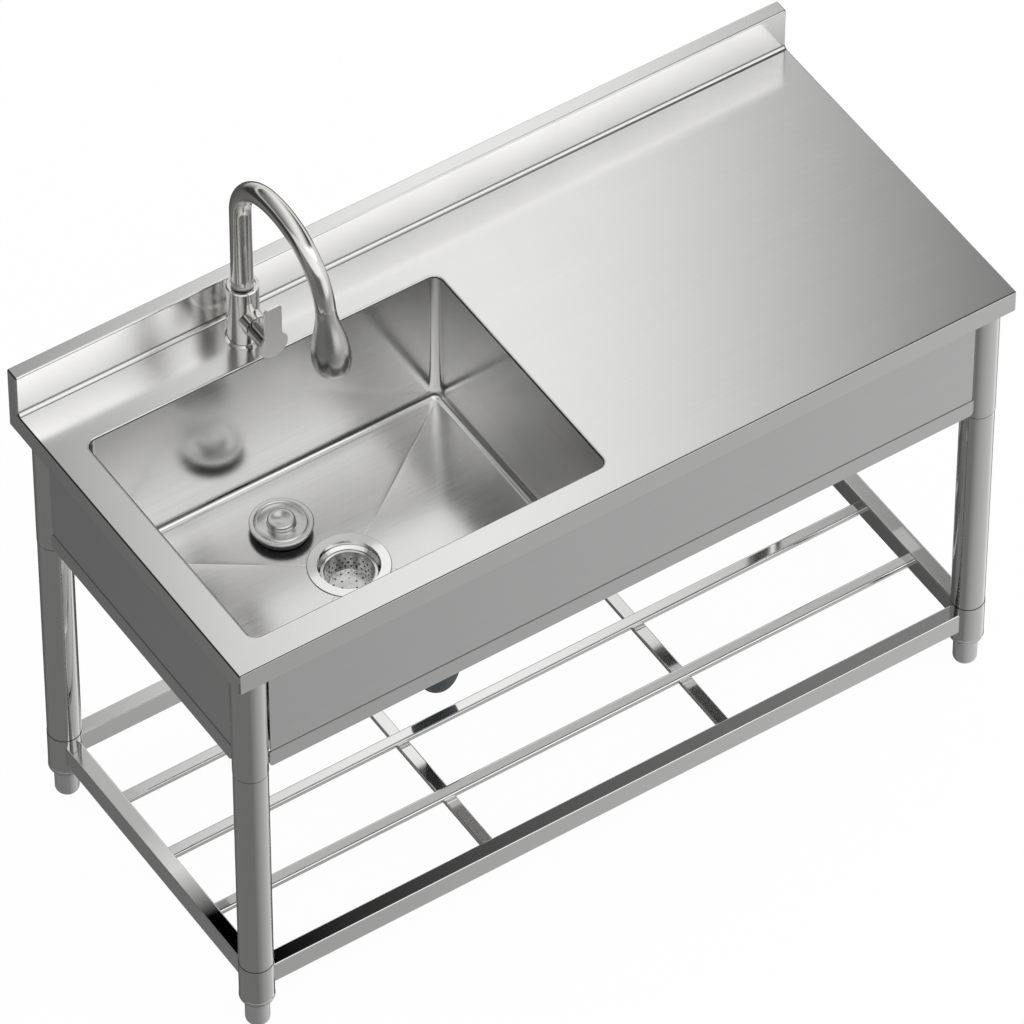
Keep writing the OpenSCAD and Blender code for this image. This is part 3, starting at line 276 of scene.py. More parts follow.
@dataclass(frozen=True)
class MetalFinish:
    """A drawn, satin or polished metal."""

    name: str
    colour: Colour
    roughness: float
    grain: GrainDirection
    turned_ends: bool = False
    grain_tone: float = 0.06
    grain_roughness: float = 0.05
    grain_height: float = 0.04
    marks_scale: float = 9.0
    marks_roughness: float = 0.04
    # seams: heights that get a thin line of painted shade
    seams: tuple[float, ...] = ()
    seam_width: float = 0.0011
    painted_shade_tone: float = 0.35
    # painted light by height: lower Z, upper Z and a tone; the colour blends towards the tone between them,
    # painted shade below 1, painted highlight above 1
    painted_light_by_height: tuple[float, float, float] | None = None
    # painted shade ring: centre X and Y, inner and outer radius
    painted_shade_ring: tuple[float, float, float, float] | None = None
    end_slant: float = 0.7

    def material(self) -> bpy.types.Material:
        """Makes the material, or gives the one made before.

        Returns:
            The material of this finish.
        """
        if self.name in bpy.data.materials:
            return bpy.data.materials[self.name]
        material, sheet = new_material(self.name)
        place = sheet.add("TexCoord").outputs
        spot = place["Object"]
        stretch = self.turned_stretch(sheet, place["Normal"]) if self.turned_ends else self.grain.value
        feeds = {"Place": spot, "Stretch": stretch}
        grain = sheet.add("Group", feeds, node_tree=SharedEffects.drawn_grain()).outputs
        feeds = {"Place": spot, "Scale": self.marks_scale}
        marks = sheet.add("Group", feeds, node_tree=SharedEffects.handling_marks()).outputs["Marks"]
        low = self.toned(1 - self.grain_tone)
        high = tuple(min(c, 1.0) for c in self.toned(1 + self.grain_tone))
        colour = sheet.mix(grain["Tone"], low, high)
        # painted shade: thin dark lines at the seams
        if self.seams:
            colour = sheet.mix(self.seam_shade_mask(sheet, spot), colour, self.toned(self.painted_shade_tone))
        # painted light: darker or brighter with height
        if self.painted_light_by_height:
            low_z, high_z, tone = self.painted_light_by_height
            climb = sheet.share(sheet.parts(spot)["Z"], low_z, high_z)
            colour = sheet.mix(climb, colour, self.toned(tone))
        # painted shade: a dark ring round the drain
        if self.painted_shade_ring:
            colour = sheet.mix(self.painted_ring_mask(sheet, spot), colour, self.toned(self.painted_shade_tone))
        half_grain, half_marks = self.grain_roughness / 2, self.marks_roughness / 2
        lined = sheet.spread(grain["Tone"], self.roughness - half_grain, self.roughness + half_grain)
        smeared = sheet.spread(marks, -half_marks, half_marks)
        feeds = {
            "Metallic": 1.0,
            "Base Color": colour,
            "Roughness": sheet.math("ADD", lined, smeared),
            "Normal": sheet.bump(grain["Height"], self.grain_height),
        }
        sheet.surface(sheet.add("BsdfPrincipled", feeds).outputs["BSDF"])
        return material

    def toned(self, tone: float) -> Colour:
        """The colour of the metal, darker or brighter."""
        return tuple(c * tone for c in self.colour)

    def seam_shade_mask(self, sheet: NodeSheet, spot: Socket) -> Socket:
        """Masks a thin line of painted shade where two lengths of tube or two bends meet.

        Args:
            sheet: The sheet of the material.
            spot: The socket of the place on the piece.

        Returns:
            The mask, 1 on a line.
        """
        height = sheet.parts(spot)["Z"]
        lines: Socket | None = None
        for seam in self.seams:
            away = sheet.math("ABSOLUTE", sheet.math("SUBTRACT", height, seam))
            line = sheet.math("LESS_THAN", away, self.seam_width)
            lines = line if lines is None else sheet.math("MAXIMUM", lines, line)
        return lines

    def painted_ring_mask(self, sheet: NodeSheet, spot: Socket) -> Socket:
        """Masks a narrow ring of painted shade round an upright axis.

        Args:
            sheet: The sheet of the material.
            spot: The socket of the place on the piece.

        Returns:
            The mask, 1 on the ring.
        """
        x, y, inner, outer = self.painted_shade_ring
        flat = sheet.add("VectorMath", {0: spot, 1: (1.0, 1.0, 0.0)}, operation="MULTIPLY").outputs["Vector"]
        away = sheet.add("VectorMath", {0: flat, 1: (x, y, 0.0)}, operation="DISTANCE").outputs["Value"]
        feeds = {0: away, 1: (inner + outer) / 2, 2: (outer - inner) / 2}
        return sheet.add("Math", feeds, operation="COMPARE").outputs[0]

    def turned_stretch(self, sheet: NodeSheet, normal: Socket) -> Socket:
        """Runs the lines along Y on the faces that look along X.

        Args:
            sheet: The sheet of the material.
            normal: The socket of the way in which a face looks.

        Returns:
            The socket of how the lines are stretched.
        """
        aside = sheet.math("ABSOLUTE", sheet.parts(normal)["X"])
        mask = sheet.math("GREATER_THAN", aside, self.end_slant)
        feeds = {"Factor": mask, "A": self.grain.value, "B": GrainDirection.ALONG_Y.value}
        return sheet.add("Mix", feeds, data_type="VECTOR").outputs["Result"]


@dataclass(frozen=True)
class MouldedFinish:
    """Moulded rubber or plastic."""

    name: str
    colour: Colour
    roughness: float
    pebbles: float = 900.0
    height: float = 0.12
    sheen: float = 0.0
    dark_tone: float = 0.8
    pale_tone: float = 1.25
    rough_spread: float = 0.08

    def material(self) -> bpy.types.Material:
        """Makes the material, or gives the one made before.

        Returns:
            The material of this finish.
        """
        if self.name in bpy.data.materials:
            return bpy.data.materials[self.name]
        material, sheet = new_material(self.name)
        feeds = {"Place": sheet.add("TexCoord").outputs["Object"], "Scale": self.pebbles}
        skin = sheet.add("Group", feeds, node_tree=SharedEffects.moulded_skin()).outputs
        low = tuple(c * self.dark_tone for c in self.colour)
        high = tuple(min(c * self.pale_tone, 1.0) for c in self.colour)
        speckle, spread = skin["Speckle"], self.rough_spread
        feeds = {
            "Sheen Weight": self.sheen,
            "Base Color": sheet.mix(speckle, low, high),
            "Roughness": sheet.spread(speckle, self.roughness - spread, self.roughness + spread),
            "Normal": sheet.bump(skin["Height"], self.height),
        }
        sheet.surface(sheet.add("BsdfPrincipled", feeds).outputs["BSDF"])
        return material


STEEL = (0.70, 0.698, 0.692)
WORKTOP_STEEL = MetalFinish(
    "worktop_steel",
    STEEL,
    0.17,
    GrainDirection.ALONG_X,
    turned_ends=True,
    grain_tone=0.02,
    grain_roughness=0.03,
)
BOWL_STEEL = MetalFinish(
    "bowl_steel",
    STEEL,
    0.18,
    GrainDirection.ALONG_X,
    turned_ends=True,
    grain_tone=0.05,
    marks_scale=14.0,
    # painted shade: the walls darker towards the rim, and a painted shadow ring round the drain seat
    painted_light_by_height=(0.60, 0.79, 0.58),
    painted_shade_ring=(*DRAIN, 0.0590, 0.0608),
)
# painted shade: dark lines along the worktop's front and end folds and in the cove at the upstand's foot
FOLD_PAINTED_SHADE = MetalFinish("fold_steel", (0.08, 0.08, 0.08), 0.25, GrainDirection.ALONG_X, grain_tone=0.02)
COVE_PAINTED_SHADE = replace(FOLD_PAINTED_SHADE, name="cove_steel", colour=(0.26, 0.26, 0.26))
# painted highlight: the upstand's front brighter towards its top
UPSTAND_STEEL = replace(WORKTOP_STEEL, name="upstand_steel", turned_ends=False, painted_light_by_height=(0.806, 0.874, 1.38))
# painted shade: a thin dark line along the hem fold
APRON_STEEL = MetalFinish(
    "apron_steel",
    (0.66, 0.658, 0.655),
    0.15,
    GrainDirection.ALONG_X,
    grain_tone=0.02,
    seams=(0.5905,),
    seam_width=0.0006,
)
SIDE_APRON_STEEL = replace(APRON_STEEL, name="side_apron_steel", grain=GrainDirection.ALONG_Y, painted_shade_tone=0.65)
# painted shade: thin dark lines where the leg tubes meet
LEG_STEEL = MetalFinish(
    "leg_steel", (0.70, 0.70, 0.69), 0.09, GrainDirection.ALONG_Z, grain_tone=0.02, seams=(0.550, 0.1335)
)
LONG_RAIL_STEEL = MetalFinish(
    "long_rail_steel",
    (0.72, 0.715, 0.71),
    0.06,
    GrainDirection.ALONG_X,
    grain_tone=0.03,
    grain_roughness=0.03,
)
CROSS_RAIL_STEEL = replace(LONG_RAIL_STEEL, name="cross_rail_steel", grain=GrainDirection.ALONG_Y)
FOOT_STEEL = MetalFinish("foot_steel", (0.62, 0.62, 0.615), 0.13, GrainDirection.ROUND)
# painted shade: the drain body darker down into its throat, and a dark ring on its flange
DRAIN_STEEL = MetalFinish(
    "drain_steel",
    (0.60, 0.60, 0.595),
    0.20,
    GrainDirection.ROUND,
    grain_tone=0.02,
    grain_height=0.0,
    painted_shade_tone=0.10,
    painted_light_by_height=(0.5395, 0.516, 0.14),
    painted_shade_ring=(*DRAIN, 0.0477, 0.0484),
)
STOPPER_STEEL = MetalFinish(
    "stopper_steel", (0.64, 0.64, 0.635), 0.21, GrainDirection.ROUND, grain_tone=0.03, grain_height=0.0
)
BASKET_STEEL = MetalFinish(
    "basket_steel", (0.72, 0.72, 0.71), 0.20, GrainDirection.ROUND, grain_tone=0.02, grain_height=0.0
)
TAP_METAL = MetalFinish(
    "tap_metal", (0.60, 0.595, 0.585), 0.16, GrainDirection.ALONG_Z, grain_tone=0.02, grain_height=0.0
)
SPRAY_METAL = replace(TAP_METAL, name="spray_metal", roughness=0.20, grain_roughness=0.02)
TAP_SATIN = MetalFinish("tap_satin", (0.93, 0.92, 0.90), 0.42, GrainDirection.ALONG_Z, grain_tone=0.02)
TAP_POLISHED = MetalFinish("tap_polished", (0.42, 0.415, 0.41), 0.12, GrainDirection.ALONG_Z, grain_tone=0.02)
ZINC = MetalFinish(
    "zinc_sheet", (0.52, 0.53, 0.54), 0.42, GrainDirection.ROUND, marks_scale=30.0, marks_roughness=0.2
)
RUBBER = MouldedFinish("black_rubber", (0.018, 0.020, 0.024), 0.52, pebbles=1400.0, sheen=0.1)
PLUG_RUBBER = MouldedFinish("slate_rubber", (0.055, 0.062, 0.068), 0.50, pebbles=1400.0, sheen=0.1)
BLACK_PLASTIC = MouldedFinish("black_plastic", (0.028, 0.028, 0.03), 0.38)
WHITE_PLASTIC = MouldedFinish("white_plastic", (0.74, 0.74, 0.72), 0.36)


class Workshop:
    """The steps that every new piece shares."""

    MERGE = 0.00001
    FLAT_WEIGHT = 80

    @staticmethod
    def finish(
        bm: bmesh.types.BMesh,
        name: str,
        finish: MetalFinish | MouldedFinish,
        wall: float = 0.0,
    ) -> bpy.types.Object:
        """Turns a bmesh into a piece with its finish.

        Args:
            bm: The shape, in the shared frame.
            name: Name of the piece.
            finish: What it is made of.
            wall: Thickness of the sheet that the shape is the outer face of, or 0 for a solid.

        Returns:
            The new object, at the origin.
        """
        bmesh.ops.remove_doubles(bm, verts=bm.verts, dist=Workshop.MERGE)
        bmesh.ops.recalc_face_normals(bm, faces=bm.faces)
        for face in bm.faces:
            face.smooth = True
        piece = Workshop.place(bm, name, finish.material())
        if wall:
            shell = piece.modifiers.new("wall", "SOLIDIFY")
            shell.thickness = wall
            shell.offset = -1.0
            shell.use_even_offset = True
        weighted = piece.modifiers.new("flat_faces_stay_flat", "WEIGHTED_NORMAL")
        weighted.weight = Workshop.FLAT_WEIGHT
        weighted.keep_sharp = True
        return piece

    @staticmethod
    def place(bm: bmesh.types.BMesh, name: str, material: bpy.types.Material) -> bpy.types.Object:
        """Puts a bmesh into the scene with one material, and frees it.

        Args:
            bm: The shape.
            name: Name of the object and its mesh.
            material: Its material.

        Returns:
            The new object, at the origin.
        """
        mesh = bpy.data.meshes.new(name)
        bm.to_mesh(mesh)
        bm.free()
        mesh.materials.append(material)
        piece = bpy.data.objects.new(name, mesh)
        bpy.context.scene.collection.objects.link(piece)
        return piece

    @staticmethod
    def round_off(
        bm: bmesh.types.BMesh,
        faces: list[bmesh.types.BMFace],
        radius: float,
        steps: int,
        side: int,
        flat_first: bool = False,
    ) -> None:
        """Rounds the rim of faces in a quarter circle, by one inset after another.

        Args:
            bm: Where the faces are.
            faces: The faces, which shrink and move.
            radius: Radius of the rounding.
            steps: Edges in the quarter circle.
            side: 1 to move the faces outwards, -1 to sink them.
            flat_first: Whether the rounding leaves the rim along the faces, not across them.
        """
        reach, rise = 0.0, 0.0
        for k in range(1, steps + 1):
            angle = math.radians(90 * k / steps)
            goal = (radius * (1 - math.cos(angle)), radius * math.sin(angle))
            new_reach, new_rise = reversed(goal) if flat_first else goal
            for face in faces:
                bmesh.ops.inset_region(
                    bm,
                    faces=[face],
                    thickness=new_reach - reach,
                    depth=side * (new_rise - rise),
                    use_even_offset=True,
                    use_boundary=True,
                )
            reach, rise = new_reach, new_rise

    @staticmethod
    def runs(line: list[Vector]) -> list[float]:
        """Measures how far along a line each of its points lies."""
        runs = [0.0]
        for a, b in zip(line, line[1:]):
            runs.append(runs[-1] + (b - a).length)
        return runs

    @staticmethod
    def rounded_plate(
        bm: bmesh.types.BMesh, centre: Vector, length: float, width: float, radius: float, steps: int
    ) -> bmesh.types.BMFace:
        """Lays a rounded rectangle flat.

        Args:
            bm: Where to make it.
            centre: Its middle.
            length: Size along X.
            width: Size along Y.
            radius: Radius of its corners.
            steps: Edges in each corner.

        Returns:
            The one face.
        """
        place = Matrix.Translation(centre) @ Matrix.Diagonal((length, width, 1.0, 1.0))
        corners = bmesh.ops.create_grid(bm, x_segments=1, y_segments=1, size=0.5, matrix=place)["verts"]
        made = bmesh.ops.bevel(
            bm,
            geom=corners,
            offset=radius,
            offset_type="OFFSET",
            segments=steps,
            profile=0.5,
            affect="VERTICES",
            material=-1,
        )
        return max({f for v in made["verts"] for f in v.link_faces}, key=lambda f: f.calc_area())

    @staticmethod
    def swept_tube(
        bm: bmesh.types.BMesh, line: list[Vector], radii: list[float], sides: int
    ) -> list[list[bmesh.types.BMEdge]]:
        """Bridges rings along a line into a tube with open ends.

        Args:
            bm: Where to make it.
            line: Points of the centre line.
            radii: Radius at each point.
            sides: Edges in each ring.

        Returns:
            The edges of the first and the last ring.
        """
        rings: list[list[bmesh.types.BMEdge]] = []
        across = Vector((1.0, 0.0, 0.0))
        for i, point in enumerate(line):
            ahead = (line[min(i + 1, len(line) - 1)] - line[max(i - 1, 0)]).normalized()
            across = (across - ahead * across.dot(ahead)).normalized()
            turn = Matrix((across, ahead.cross(across), ahead)).transposed().to_4x4()
            made = bmesh.ops.create_circle(
                bm, segments=sides, radius=radii[i], matrix=Matrix.Translation(point) @ turn
            )
            rings.append(list({e for v in made["verts"] for e in v.link_edges}))
        for near, far in zip(rings, rings[1:]):
            bmesh.ops.bridge_loops(bm, edges=near + far)
        return [rings[0], rings[-1]]

    @staticmethod
    def turned(bm: bmesh.types.BMesh, side: list[tuple[float, float]], steps: int) -> None:
        """Spins an outline about Z.

        Args:
            bm: Where to make it.
            side: Radius and height of each point.
            steps: Faces round the axis.
        """
        verts = [bm.verts.new((r, 0.0, z)) for r, z in side]
        edges = [bm.edges.new(pair) for pair in zip(verts, verts[1:])]
        bmesh.ops.spin(
            bm,
            geom=verts + edges,
            axis=(0.0, 0.0, 1.0),
            cent=(0.0, 0.0, 0.0),
            angle=math.tau,
            steps=steps,
            use_merge=True,
        )
        bmesh.ops.remove_doubles(bm, verts=bm.verts, dist=Workshop.MERGE)


@dataclass
class PhotoCamera:
    """The camera at the photograph's place."""

    place: tuple[float, float, float] = (-5.31719, -8.02158, 11.30280)
    right: tuple[float, float, float] = (0.8339, -0.5519, 0.0002)
    forward: tuple[float, float, float] = (0.3664, 0.5533, -0.7481)
    focal_px: float = 10150.0
    frame_px: float = 1024.0
    sensor: float = 36.0
    clip: tuple[float, float] = (0.1, 200.0)

    def build(self) -> bpy.types.Object:
        """Makes the camera and gives it to the scene.

        Returns:
            The camera.
        """
        data = bpy.data.cameras.new("photo_camera")
        data.sensor_fit = "HORIZONTAL"
        data.sensor_width = self.sensor
        data.lens = self.focal_px / self.frame_px * self.sensor
        data.clip_start, data.clip_end = self.clip
        camera = bpy.data.objects.new("photo_camera", data)
        bpy.context.scene.collection.objects.link(camera)
        back = -Vector(self.forward).normalized()
        right = Vector(self.right)
        right = (right - back * right.dot(back)).normalized()
        turn = Matrix((right, back.cross(right), back)).transposed().to_4x4()
        camera.matrix_world = Matrix.Translation(Vector(self.place)) @ turn
        bpy.context.scene.camera = camera
        return camera


@dataclass
class Studio:
    """The floor, the light tent and card that the metal mirrors, and the lamp."""

    LOWER: ClassVar[Stops] = (
        (0.00, 0.2), (0.15, 0.2), (0.25, 0.4), (0.45, 0.7), (0.50, 1.0), (0.55, 0.1), (0.80, 0.1),
        (0.90, 0.2),
    )
    MIDDLE: ClassVar[Stops] = (
        (0.0, 0.3), (0.1, 0.15), (0.2, 0.15), (0.25, 0.9), (0.32, 1.2), (0.42, 0.9), (0.7, 0.9), (0.8, 0.05),
    )
    UPPER: ClassVar[Stops] = (
        (0.0, 0.9), (0.3, 1.3), (0.5, 0.8), (0.7, 1.0), (0.9, 0.6),
    )

    CARD_ROWS: ClassVar[Stops] = (
        (0.0, 0.3), (0.2, 0.5), (0.35, 1.0), (0.85, 1.0), (0.95, 0.3), (1.0, 0.0),
    )
    RISING_STRIP: ClassVar[Stops] = ((0.0, 0.0), (1.0, 0.3))
    EVEN_STRIP: ClassVar[Stops] = ((0.0, 0.6), (1.0, 0.6))
    SPOT_STRIP: ClassVar[Stops] = ((0.2, 0.0), (0.4, 0.9), (0.6, 0.6))

    STRIPS: ClassVar[tuple[tuple, ...]] = (
        ("front_rail_strip", (-0.52, -0.165), (0.72, -0.100), RISING_STRIP),
        ("front_slat_strip", (-0.52, -0.012), (0.72, 0.038), EVEN_STRIP),
        ("left_rail_strip", (-0.56, -0.125), (-0.495, 0.375), SPOT_STRIP),
    )
    SOFTBOX: ClassVar[tuple] = ((1.0, -1.45, 2.1), (0.1, 0.1, 0.8), (2.2, 1.6), 1.3)

    WHITE: ClassVar[tuple[float, float, float, float]] = (1.0, 1.0, 1.0, 1.0)
    FLOOR_PAINT: ClassVar[tuple[float, float, float, float]] = (0.92, 0.92, 0.92, 1.0)

    floor_half: float = 60.0
    tent_radius: float = 3.0
    tent_z: float = 0.6
    low_band: tuple[float, float] = (-0.12, 0.06)
    high_band: tuple[float, float] = (0.40, 0.48)
    daylight: float = 0.9
    floor_lift: float = 0.97
    card_z: float = 2.2
    card_half: float = 2.3
    card_middle: tuple[float, float] = (0.705, 1.225)
    card_turn: float = math.radians(58.5)
    card_spread: float = 0.53
    card_tone: float = 1.14
    rows_y: tuple[float, float] = (-1.9, -0.6)
    rows_x: tuple[float, float] = (-0.8, -0.4)
    rows_left: float = 0.6
    right_x: tuple[float, float] = (0.1, 1.0)
    rows_right: float = 1.65
    left_tone: float = 0.2
    strip_z: float = 0.30

    def build(self) -> None:
        """Makes the whole studio."""
        self.floor()
        self.tent()
        self.ceiling_card()
        for strip in self.STRIPS:
            self.shelf_strip(*strip)
        self.world()
        self.lamp("front_softbox", *self.SOFTBOX)

    def floor(self) -> None:
        """Makes the white floor, which keeps a faint shadow of the unit."""
        bm = bmesh.new()
        bmesh.ops.create_grid(bm, x_segments=1, y_segments=1, size=self.floor_half)
        material, sheet = new_material("floor_white")
        feeds = {"Base Color": self.FLOOR_PAINT, "Roughness": 0.9, "Specular IOR Level": 0.0}
        paint = sheet.add("BsdfPrincipled", feeds).outputs["BSDF"]
        lift = sheet.math("MULTIPLY", sheet.seen(), self.floor_lift)
        sheet.surface(sheet.blend(lift, paint, sheet.add("Emission").outputs["Emission"]))
        material.cycles.emission_sampling = "NONE"
        floor = Workshop.place(bm, "studio_floor", material)
        floor.visible_glossy = False

    def tent(self) -> None:
        """Makes the round light tent, which only mirrored rays see."""
        bm = bmesh.new()
        middle = Matrix.Translation((0.0, 0.0, self.tent_z))
        bmesh.ops.create_uvsphere(bm, u_segments=48, v_segments=24, radius=self.tent_radius, matrix=middle)
        material, sheet = new_material("tent_cloth")
        place = sheet.add("TexCoord").outputs["Object"]
        turn = sheet.add("TexGradient", {"Vector": place}, gradient_type="RADIAL").outputs["Fac"]
        height = sheet.parts(place)["Z"]
        lower, higher, upper = (sheet.ramp(turn, stops) for stops in (self.LOWER, self.MIDDLE, self.UPPER))
        whole = sheet.mix(self.height_mask(sheet, height, self.low_band), lower, higher)
        whole = sheet.mix(self.height_mask(sheet, height, self.high_band), whole, upper)
        sheet.surface(sheet.add("Emission", {"Color": whole}).outputs["Emission"])
        self.hang(bm, "light_tent", material)

    def height_mask(self, sheet: NodeSheet, height: Socket, band: tuple[float, float]) -> Socket:
        """Masks the tent above a height.

        Args:
            sheet: The sheet to draw on.
            height: The socket of the height.
            band: Start and end of the blend, as shares of the radius above the middle.

        Returns:
            The socket of the mask, 0 below and 1 above.
        """
        low, high = (self.tent_z + share * self.tent_radius for share in band)
        mask = sheet.share(height, low, high)
        mask.node.interpolation_type = "SMOOTHSTEP"
        return mask

    @staticmethod
    def hang(bm: bmesh.types.BMesh, name: str, material: bpy.types.Material) -> None:
        """Hangs a piece of the studio that only mirrored rays see.

        Args:
            bm: Its shape.
            name: Its name.
            material: Its glowing cloth.
        """
        material.cycles.emission_sampling = "NONE"
        piece = Workshop.place(bm, name, material)
        piece.visible_camera = False
        piece.visible_diffuse = False
        piece.visible_transmission = False
        piece.visible_shadow = False

    def shelf_strip(
        self, name: str, low: tuple[float, float], high: tuple[float, float], stops: Stops
    ) -> None:
        """Hangs a narrow strip over the shelf, which only its polished tubes mirror, from below.

        Args:
            name: Its name.
            low: Its lowest X and Y.
            high: Its highest X and Y.
            stops: Places along it and their tones.
        """
        size = (high[0] - low[0], high[1] - low[1])
        middle = ((high[0] + low[0]) / 2, (high[1] + low[1]) / 2, self.strip_z)
        bm = bmesh.new()
        place = Matrix.Translation(middle) @ Matrix.Diagonal((*size, 1.0, 1.0))
        bmesh.ops.create_grid(bm, x_segments=1, y_segments=1, size=0.5, matrix=place)
        material, sheet = new_material(name + "_cloth")
        parts = sheet.parts(sheet.add("TexCoord").outputs["Object"])
        along = 0 if size[0] > size[1] else 1
        share = sheet.share(parts[along], low[along], high[along])
        glow = sheet.add("Emission", {"Color": sheet.ramp(share, stops)}).outputs["Emission"]
        clear = sheet.add("BsdfTransparent").outputs["BSDF"]
        back = sheet.add("NewGeometry").outputs["Backfacing"]
        sheet.surface(sheet.blend(back, clear, glow))
        self.hang(bm, name, material)

    def ceiling_card(self) -> None:
        """Hangs the card that the worktop mirrors: a bright strip along it and a band in front."""
        bm = bmesh.new()
        bmesh.ops.create_grid(bm, x_segments=1, y_segments=1, size=self.card_half)
        turn = Matrix.Rotation(self.card_turn, 4, "Z")
        lift = Matrix.Translation((*self.card_middle, self.card_z))
        bmesh.ops.transform(bm, matrix=lift @ turn, verts=bm.verts)
        material, sheet = new_material("card_cloth")
        place = sheet.add("TexCoord").outputs["Object"]
        normal = (math.sin(self.card_turn), -math.cos(self.card_turn), 0.0)
        aside = sheet.add("VectorMath", {0: place, 1: normal}, operation="DOT_PRODUCT").outputs["Value"]
        offset = normal[0] * self.card_middle[0] + normal[1] * self.card_middle[1]
        away = sheet.math("SUBTRACT", aside, offset)
        square = sheet.math("MULTIPLY", away, away)
        bell = sheet.math("EXPONENT", sheet.math("MULTIPLY", square, -0.5 / self.card_spread**2))
        strip = sheet.math("MULTIPLY", bell, self.card_tone)
        parts = sheet.parts(place)
        across = sheet.share(parts["X"], *self.rows_x)
        beyond = sheet.share(parts["X"], *self.right_x)
        band = sheet.ramp(sheet.share(parts["Y"], *self.rows_y), self.CARD_ROWS)
        band = sheet.math("MULTIPLY", band, sheet.spread(across, self.rows_left, 1.0))
        band = sheet.math("MULTIPLY", band, sheet.spread(beyond, 1.0, self.rows_right))
        left = sheet.spread(across, self.left_tone, 0.0)
        tone = sheet.math("ADD", sheet.math("ADD", strip, band), left)
        sheet.surface(sheet.add("Emission", {"Strength": tone}).outputs["Emission"])
        self.hang(bm, "ceiling_card", material)

    def world(self) -> None:
        """Sets even daylight, white wherever it is seen."""
        world = bpy.data.worlds.new("studio_world")
        bpy.context.scene.world = world
        world.use_nodes = True
        sheet = NodeSheet(world.node_tree)
        tone = sheet.spread(sheet.seen(), self.daylight, 1.0)
        sky = sheet.add("Background", {"Color": self.WHITE, "Strength": tone}).outputs["Background"]
        sheet.add("OutputWorld", {"Surface": sky})

    def lamp(
        self,
        name: str,
        place: tuple[float, float, float],
        target: tuple[float, float, float],
        size: tuple[float, float],
        tone: float,
    ) -> None:
        """Hangs a softbox.

        Args:
            name: Its name.
            place: Its middle.
            target: The point that it faces.
            size: Its length and width.
            tone: How bright its cloth looks, where 1 is white.
        """
        data = bpy.data.lights.new(name, "AREA")
        data.shape = "RECTANGLE"
        data.size, data.size_y = size
        data.energy = tone * size[0] * size[1] * math.pi
        lamp = bpy.data.objects.new(name, data)
        bpy.context.scene.collection.objects.link(lamp)
        aim = Vector(target) - Vector(place)
        turn = aim.to_track_quat("-Z", "Y").to_matrix().to_4x4()
        lamp.matrix_world = Matrix.Translation(Vector(place)) @ turn
        lamp.visible_camera = False
        lamp.visible_glossy = False


@dataclass
class WasteHose:
    """The ribbed waste hose, which hangs from the elbow under the drain to its end plug."""

    drain: tuple[float, float] = DRAIN
    turn: float = math.radians(16)
    route: tuple[tuple[float, float], ...] = (
        (0.028, 0.440), (0.044, 0.440), (0.060, 0.440), (0.092, 0.436), (0.122, 0.423), (0.148, 0.4025),
        (0.168, 0.376), (0.180, 0.345), (0.184, 0.312), (0.184, 0.290), (0.184, 0.265), (0.184, 0.240),
        (0.184, 0.215), (0.184, 0.200), (0.184, 0.184), (0.184, 0.168), (0.184, 0.152),
    )
    crest: float = 0.016
    valley: float = 0.0144
    pitch: float = 0.005
    cuff: float = 0.022
    rings_per_rib: int = 4
    sides: int = 24

    def line(self) -> list[Vector]:
        """The centre line in the shared frame.

        Returns:
            Its points, about a quarter of a rib apart.
        """
        points = [
            Vector((self.drain[0] + s * math.cos(self.turn), self.drain[1] + s * math.sin(self.turn), z))
            for s, z in self.route
        ]
        fine: list[Vector] = []
        last = len(points) - 1
        for i in range(last):
            before, a, b, after = points[max(i - 1, 0)], points[i], points[i + 1], points[min(i + 2, last)]
            count = max(2, round((b - a).length / (self.pitch / self.rings_per_rib)))
            for k in range(count):
                t = k / count
                bend_a, bend_b = (b - before) / 2, (after - a) / 2
                fine.append(
                    a * (2 * t**3 - 3 * t**2 + 1)
                    + bend_a * (t**3 - 2 * t**2 + t)
                    + b * (3 * t**2 - 2 * t**3)
                    + bend_b * (t**3 - t**2)
                )
        fine.append(points[-1])
        return fine

    def build(self) -> bpy.types.Object:
        """Returns:
            The hose.
        """
        line = self.line()
        runs = Workshop.runs(line)
        total = runs[-1]
        radii = []
        for run in runs:
            wave = 0.5 - 0.5 * math.cos(math.tau * run / self.pitch)
            ribbed = self.valley + (self.crest - self.valley) * wave
            on_cuff = run < self.cuff or total - run < self.cuff
            radii.append(self.crest if on_cuff else ribbed)
        bm = bmesh.new()
        for ring in Workshop.swept_tube(bm, line, radii, self.sides):
            bmesh.ops.holes_fill(bm, edges=ring)
        hose = Workshop.finish(bm, "ribbed_waste_hose", BLACK_PLASTIC)
        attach(hose, "unit")
        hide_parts("waste_hose")
        return hose


